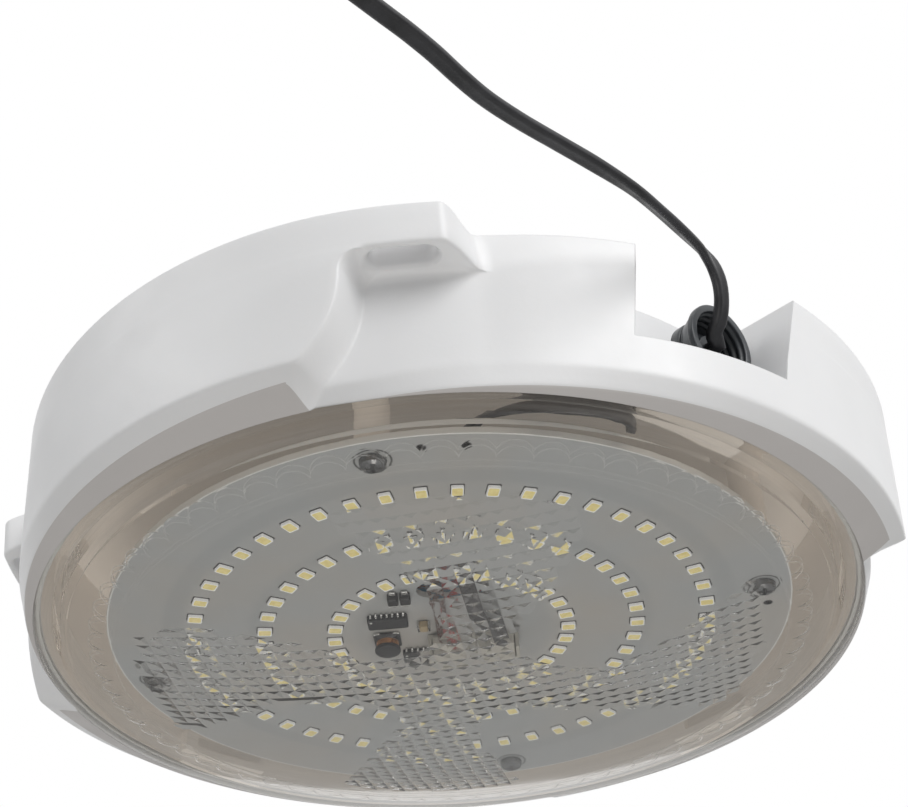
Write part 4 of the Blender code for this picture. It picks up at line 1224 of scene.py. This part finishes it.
def cover_inside(shape):
    """The dome's inner face with its prisms, and the corners of its outer ring."""
    points, heights, edges, tips = prism_field()
    inner_radius = collar_radius - collar_wall
    rings = [(radius, plain_ring_sides) for radius in plain_ring_radii]
    rings += [(last_ring_radius, cover_sides), (inner_radius, cover_sides)]
    for radius, sides in rings:
        points += [polar(radius, 360 * k / sides).xy for k in range(sides)]
        heights += [dome_height(radius, cover_wall)] * sides
    verts, _, faces, origin, _, _ = geometry.delaunay_2d_cdt(points, sorted(edges), [], 0, 1e-7)
    made = [shape.verts.new((*vert, heights[source[0]])) for vert, source in zip(verts, origin)]
    flat = [any(k in tips for k in source) for source in origin]
    for face in faces:
        new = shape.faces.new([made[k] for k in face])
        new.smooth = not any(flat[k] for k in face)
        new.material_index = 0 if new.smooth else 1
    outer = {source: made[k] for k, sources in enumerate(origin) for source in sources}
    return [outer[len(points) - cover_sides + k] for k in range(cover_sides)]


def cover_profile():
    """The collar, the flange and the dome's outer face, from the inside to near the middle."""
    inner_radius = collar_radius - collar_wall
    profile = [(inner_radius, dome_height(inner_radius, cover_wall)), (inner_radius, -collar_top_drop)]
    profile += [(collar_radius, -collar_top_drop), (collar_radius, -flange_top_drop)]
    profile += [(flange_radius, -flange_top_drop), (flange_radius, -dome_edge_drop + 0.0003)]
    profile = rounded(profile + [(dome_edge_radius, -dome_edge_drop)], cover_edge, 3)
    outside = [dome_edge_radius * share for share in dome_shares]
    return profile + [(radius, dome_height(radius)) for radius in outside]


def make_cover():
    shape = bmesh.new()
    rows = [cover_inside(shape)]
    for radius, z in cover_profile()[1:]:
        rows.append([shape.verts.new(polar(radius, 360 * k / cover_sides, z)) for k in range(cover_sides)])
    apex = shape.verts.new((0, 0, -dome_drop))
    for k in range(cover_sides):
        n = (k + 1) % cover_sides
        for low, high in zip(rows, rows[1:]):
            shape.faces.new([low[k], low[n], high[n], high[k]]).smooth = True
        shape.faces.new([rows[-1][k], rows[-1][n], apex]).smooth = True
    bmesh.ops.recalc_face_normals(shape, faces=shape.faces)
    for edge in shape.edges:
        if len(edge.link_faces) == 2 and edge.calc_face_angle() > math.radians(40):
            edge.smooth = False
    low, inner = -(collar_top_drop + lug_height), collar_radius + lug_gap
    for i in range(4):
        start, end = (first_lug_angle + quarter * i + side * lug_half_turn for side in (-1, 1))
        join_part(shape, sector(inner, lug_radius, start, end, low, -collar_top_drop, 10))
    data = bpy.data.meshes.new("cover_dome")
    shape.to_mesh(data)
    shape.free()
    dress(data, "clear_plastic", "clear_prisms", "clear_rim")
    for face in data.polygons:
        if face.center.xy.length > clear_rim_radius:
            face.material_index = 2
    piece("cover_dome", data, "cover", "clear_plastic", "clear_cover", 0)


# ---------------------------------------------------------------- LEDs


def make_leds(ring):
    """The packages of one ring, each with a pale body and a yellow face, both with a faint painted glow, and a
    dark frame at its base that is painted shadow.
    """
    count, radius, first_angle = led_rings[ring]
    top, low = -board_drop - led_height, -board_drop - led_gap
    painted_shade_frame = low - led_shade_frame_height
    lap = led_shade_frame_lap
    # How far each level lies inside the package's outline, its height, and the cut of its corners
    body = [(0, 0, low, led_corner), (0, 0, top + 0.00008, led_corner), (0.00008, 0.00008, top, led_corner)]
    body += [(0.0002, 0.00016, top, led_face_corner), (0.00028, 0.00022, top + led_face_depth, led_face_corner)]
    frame = [(-0.00028, -0.00022, low, led_corner), (-0.00022, -0.00016, painted_shade_frame, led_corner)]
    frame += [(lap, lap, painted_shade_frame, led_corner), (lap, lap, low, led_corner)]
    shape = bmesh.new()
    for i in range(count):
        turn = Matrix.Rotation(math.radians(first_angle + 360 * i / count), 4, "Z")
        turn = turn @ Matrix.Translation((radius, 0, 0))
        body_rings, frame_rings = (
            [
                [turn @ Vector((x, y, z)) for x, y in cut_corners(led_length / 2 - a, led_width / 2 - b, cut)]
                for a, b, z, cut in levels
            ]
            for levels in (body, frame)
        )
        loft(body_rings, shape, cap_look=1)
        # the dark frame at the base of each package is painted shadow
        loft(frame_rings, shape, closed=True, look=2)
    data = mesh_of(ring + "_leds", shape)
    dress(data, "led_package_painted_glow", "led_phosphor_painted_glow", "painted_shade_frame")
    piece(ring + "_leds", data, "fixed_light", "led_yellow", ring, 30)


# ---------------------------------------------------------------- driver parts


driver_looks = ("chip_black", "tin", "seal_rubber")


def block(shape, place, size, edge, look=0):
    """A box that hangs under the board, with its upright and lower edges cut. Its look is a place in
    driver_looks."""
    rings = []
    for drop, cut in ((0, 0), (size[2] - edge, 0), (size[2], edge)):
        corners = cut_corners(size[0] / 2 - cut, size[1] / 2 - cut, edge)
        z = -board_drop - touch_gap - drop
        rings.append([(place[0] + x, place[1] + y, z) for x, y in corners])
    loft(rings, shape, look=look)


def driver_piece(name, shape, node, looks_used):
    data = mesh_of(name, shape)
    dress(data, *looks_used)
    piece(name, data, "fixed_light", looks_used[0], node, 30)


def make_chip(node):
    """A moulded chip with legs on its two long sides and a mark at its first leg."""
    (x, y), (length, width, height), legs = chips[node]
    half = width / 2 - leg_reach
    shape = bmesh.new()
    block(shape, (x, y), (length, 2 * half, height), chip_edge)
    for side in (-1, 1):
        end, shoulder = half + leg_reach / 2 - pad_edge, half + 0.00012
        for k in range(legs):
            at = x + (k - (legs - 1) / 2) * length / (legs + 0.3)
            leg = (leg_width, leg_reach + leg_overlap, leg_thickness)
            block(shape, (at, y + side * end), leg, leg_edge, 1)
            block(shape, (at, y + side * shoulder), (leg_width, leg_shoulder, height * 0.55), leg_edge, 1)
    mark = (x - length / 2 + 0.0009, y - half + 0.0008)
    block(shape, mark, (mark_size, mark_size, height + mark_height), mark_edge, 2)
    driver_piece(node + "_body", shape, node, driver_looks)


def make_inductor():
    """A shielded coil: a square base with tin pads, a round core and its winding in the gap."""
    shape = bmesh.new()
    (x, y), size = inductor_place, inductor_size
    block(shape, inductor_place, (size, size, inductor_base), 0.0006)
    for side in (-1, 1):
        pad = (0.0016, size + 0.0002, pad_height)
        block(shape, (x + side * inductor_waist, y), pad, pad_edge, 1)
    face = -board_drop - touch_gap
    start, end = face - 0.0009, face - inductor_height
    waist, head = inductor_waist, inductor_head
    profile = [(0, start), (waist, start), (waist, end + 0.0011), (head - 0.0001, end + 0.0010)]
    profile += [(head, end + 0.0008), (head, end + 0.0002), (head - 0.0002, end), (0, end - 0.00005)]
    place = Matrix.Translation((x, y, 0))
    join_part(shape, turned(profile, 40, place))
    for k in range(coil_turns):
        z, inner = face - 0.00115 - coil_pitch * k, waist - 0.0001
        wound = [(inner, z), (coil_radius, z + 0.0001), (coil_radius, z - 0.0001), (inner, z - 0.0002)]
        join_part(shape, turned(wound, 32, place, 3))
    driver_piece("inductor_coil", shape, "power_inductor", (*driver_looks, "copper"))


def make_diodes():
    shape = bmesh.new()
    for side in (-1, 1):
        x, y = diode_place[0] + side * diode_spread, diode_place[1]
        block(shape, (x, y), diode_size, 0.0003)
        for end in (-1, 1):
            block(shape, (x, y + end * 0.0021), (0.0016, 0.0009, pad_height), pad_edge, 1)
        block(shape, (x, y + 0.0011), (diode_size[0], 0.0004, diode_size[2] + mark_height), mark_edge, 2)
    driver_piece("diode_bodies", shape, "diode_pair", driver_looks)


def make_capacitor():
    shape = bmesh.new()
    (x, y), (length, width, height) = capacitor_place, capacitor_size
    block(shape, (x, y), capacitor_size, 0.0002)
    for side in (-1, 1):
        end = (length + capacitor_end) / 2
        block(shape, (x + side * end, y), (capacitor_end, width, height), 0.0002, 1)
    driver_piece("capacitor_body", shape, "filter_capacitor", ("capacitor_tan", "tin"))


# ---------------------------------------------------------------- leads


def smooth_route(points, spacing):
    ends = [points[0] * 2 - points[1], *points, points[-1] * 2 - points[-2]]
    fine = []
    for i in range(1, len(ends) - 2):
        a, b, c, d = ends[i - 1 : i + 3]
        for k in range(24):
            t = k / 24
            bend = (2 * a - 5 * b + 4 * c - d) * t**2 + (3 * b - a - 3 * c + d) * t**3
            fine.append((2 * b + (c - a) * t + bend) / 2)
    fine.append(points[-1])
    lengths = [0.0]
    for a, b in zip(fine, fine[1:]):
        lengths.append(lengths[-1] + (b - a).length)
    count = max(2, round(lengths[-1] / spacing))
    made = []
    place = 0
    for i in range(count + 1):
        target = lengths[-1] * i / count
        while place < len(lengths) - 2 and lengths[place + 1] < target:
            place += 1
        share = (target - lengths[place]) / (lengths[place + 1] - lengths[place])
        made.append(fine[place].lerp(fine[place + 1], min(1.0, share)))
    return made


def flat_lead(name, route, width, thickness, marks, replaced):
    """A two-core flat lead along a route, turned as the marks say."""
    section = []
    for i in range(lead_sides):
        across, up = polar(1, 360 * i / lead_sides).xy
        x = math.copysign(abs(across) ** 0.6, across) * width / 2
        waist = 1 - 0.22 * math.exp(-((x / (width * 0.14)) ** 2))
        section.append((x, math.copysign(abs(up) ** 0.8, up) * thickness / 2 * waist))
    rings = []
    for i, point in enumerate(route):
        ahead = (route[min(i + 1, len(route) - 1)] - route[max(i - 1, 0)]).normalized()
        wide = direction_at(i / (len(route) - 1), marks)
        wide = (wide - ahead * wide.dot(ahead)).normalized()
        high = ahead.cross(wide)
        rings.append([point + wide * x + high * y for x, y in section])
    data = mesh_of(name, loft(rings))
    return piece(name, data, "fixed_light", "cable_black", replaced, 50)


def direction_at(share, marks):
    """The direction of a lead's width at a share of its route, between marks of share and direction."""
    for (start, first), (end, last) in zip(marks, marks[1:]):
        if share <= end:
            return Vector(first).lerp(Vector(last), smooth_share((share - start) / (end - start))).normalized()
    return Vector(marks[-1][1])


def make_cable():
    exit_point = cup_centre - cup_axis() * (plug_tail_end - touch_gap)
    straight = exit_point + cup_axis() * cable_width / 2
    points = [straight] + [Vector(point) for point in cable_route] + [cable_end]
    route = [exit_point] + smooth_route(points, cable_spacing)
    up = Vector((0, 0, 1))
    across = cup_axis().cross(up).normalized()
    run = (cable_end - Vector(cable_route[8])).normalized().cross(up)
    marks = [(0, -across), (0.1, -across + up * 0.3), (0.3, run + up * 0.9), (0.48, run + up * 0.25), (1, run)]
    made = flat_lead("solar_lead", route, cable_width, cable_thickness, marks, "solar_cable")


def make_inner_lead():
    start = cup_centre - cup_axis() * (cup_neck_end + touch_gap)
    straight = start - cup_axis() * lead_width
    points = [straight] + [Vector(point) for point in lead_route] + [lead_end - Vector((0, lead_width, 0))]
    route = [start] + smooth_route(points, lead_spacing) + [lead_end]
    marks = [(0, (0, 0, 1)), (0.2, (0.2, 0, 1)), (0.32, (0.25, 0.1, 1)), (0.55, (1, 0, 0.1)), (1, (1, 0, 0))]
    flat_lead("inner_lead", route, lead_width, lead_thickness, marks, "internal_lead")


# ---------------------------------------------------------------- socket


def make_cup():
    bore, crest = cup_radius - cup_wall, cup_radius - cup_wall - cup_ridge_height
    profile = [(0, -cup_bore_depth), (bore, -cup_bore_depth)]
    for i in reversed(range(cup_ridges)):
        middle = -(cup_first_ridge + cup_ridge_pitch * i)
        profile += [(bore, middle - ridge_foot), (crest, middle - ridge_crest)]
        profile += [(crest, middle + ridge_crest), (bore, middle + ridge_foot)]
    profile += [(bore, 0), (cup_radius, 0), (cup_radius, -cup_collar)]
    profile += [(cup_radius - collar_step, -cup_collar - collar_step), (cup_shoulder_radius, -cup_cone_end)]
    profile += [(cup_neck_radius, -cup_cone_end), (cup_neck_radius, -cup_neck_end), (0, -cup_neck_end)]
    data = mesh_of("cup", turned(rounded(profile, cup_edge, 3), 96, cup_place()))
    piece("socket_cup_turned", data, "fixed_light", "black_plastic", "socket_cup", 60)


# ---------------------------------------------------------------- stage


def make_floor():
    shape = bmesh.new()
    bmesh.ops.create_grid(shape, x_segments=1, y_segments=1, size=floor_half)
    floor = add_object("floor", mesh_of("floor", shape))
    floor.location = (0, 0, -floor_drop)
    look = Look("floor_pale", floor_colour, 0.8)
    look.paint(look.noise(0.4, 3), shade(floor_colour, 0.98), floor_colour)
    floor.data.materials.append(look.material)


def make_world():
    """White where it is seen, plain or through the cover, and a dim even light on everything else."""
    world = bpy.data.worlds.new("studio")
    bpy.context.scene.world = world
    world.use_nodes = True
    tree = world.node_tree
    dim = tree.nodes["Background"]
    dim.inputs["Color"].default_value = (0.98, 0.99, 1.0, 1)
    dim.inputs["Strength"].default_value = world_strength
    white = add_node(tree, "Background", {"Color": (1, 1, 1, 1), "Strength": 1.0})
    rays = add_node(tree, "LightPath", {}).outputs
    seen = rays["Is Camera Ray"]
    for output in ("Is Glossy Ray", "Is Transmission Ray"):
        seen = add_node(tree, "Math", {0: seen, 1: rays[output]}, operation="MAXIMUM").outputs[0]
    mix = add_node(tree, "MixShader", {0: seen, 1: dim.outputs[0], 2: white.outputs[0]})
    tree.links.new(mix.outputs[0], tree.nodes["World Output"].inputs["Surface"])


def make_lamps():
    for name, (place, size, power, colour) in lamps.items():
        lamp = bpy.data.lights.new(name, "AREA")
        lamp.size = size
        lamp.energy = power
        lamp.color = colour
        made = add_object(name, lamp)
        made.location = place
        made.rotation_euler = (lamp_aim - Vector(place)).to_track_quat("-Z", "Y").to_euler()


def make_camera():
    turn = Matrix.Rotation(view_turn, 3, "Z")
    right, up, back = turn @ camera_right, turn @ camera_up, turn @ camera_back
    place = turn @ camera_place + Vector((0, 0, -board_drop))
    camera = bpy.data.cameras.new("camera")
    camera.lens = lens
    camera.sensor_width = sensor_width
    camera.clip_start = nearest_seen
    made = add_object("camera", camera)
    made.matrix_world = Matrix.Translation(place) @ Matrix((right, up, back)).transposed().to_4x4()
    bpy.context.scene.camera = made


make_camera()
make_floor()
make_world()
make_lamps()
make_cable()
make_inner_lead()
make_housing()
make_cover()
for ring_name in led_rings:
    make_leds(ring_name)
make_cup()
for chip in chips:
    make_chip(chip)
make_diodes()
make_inductor()
make_capacitor()
for name in ("battery_wire_red", "battery_wire_black"):
    nodes[name].modifiers.new("smooth", "SUBSURF").render_levels = 1
bpy.context.scene.view_settings.view_transform = "Standard"
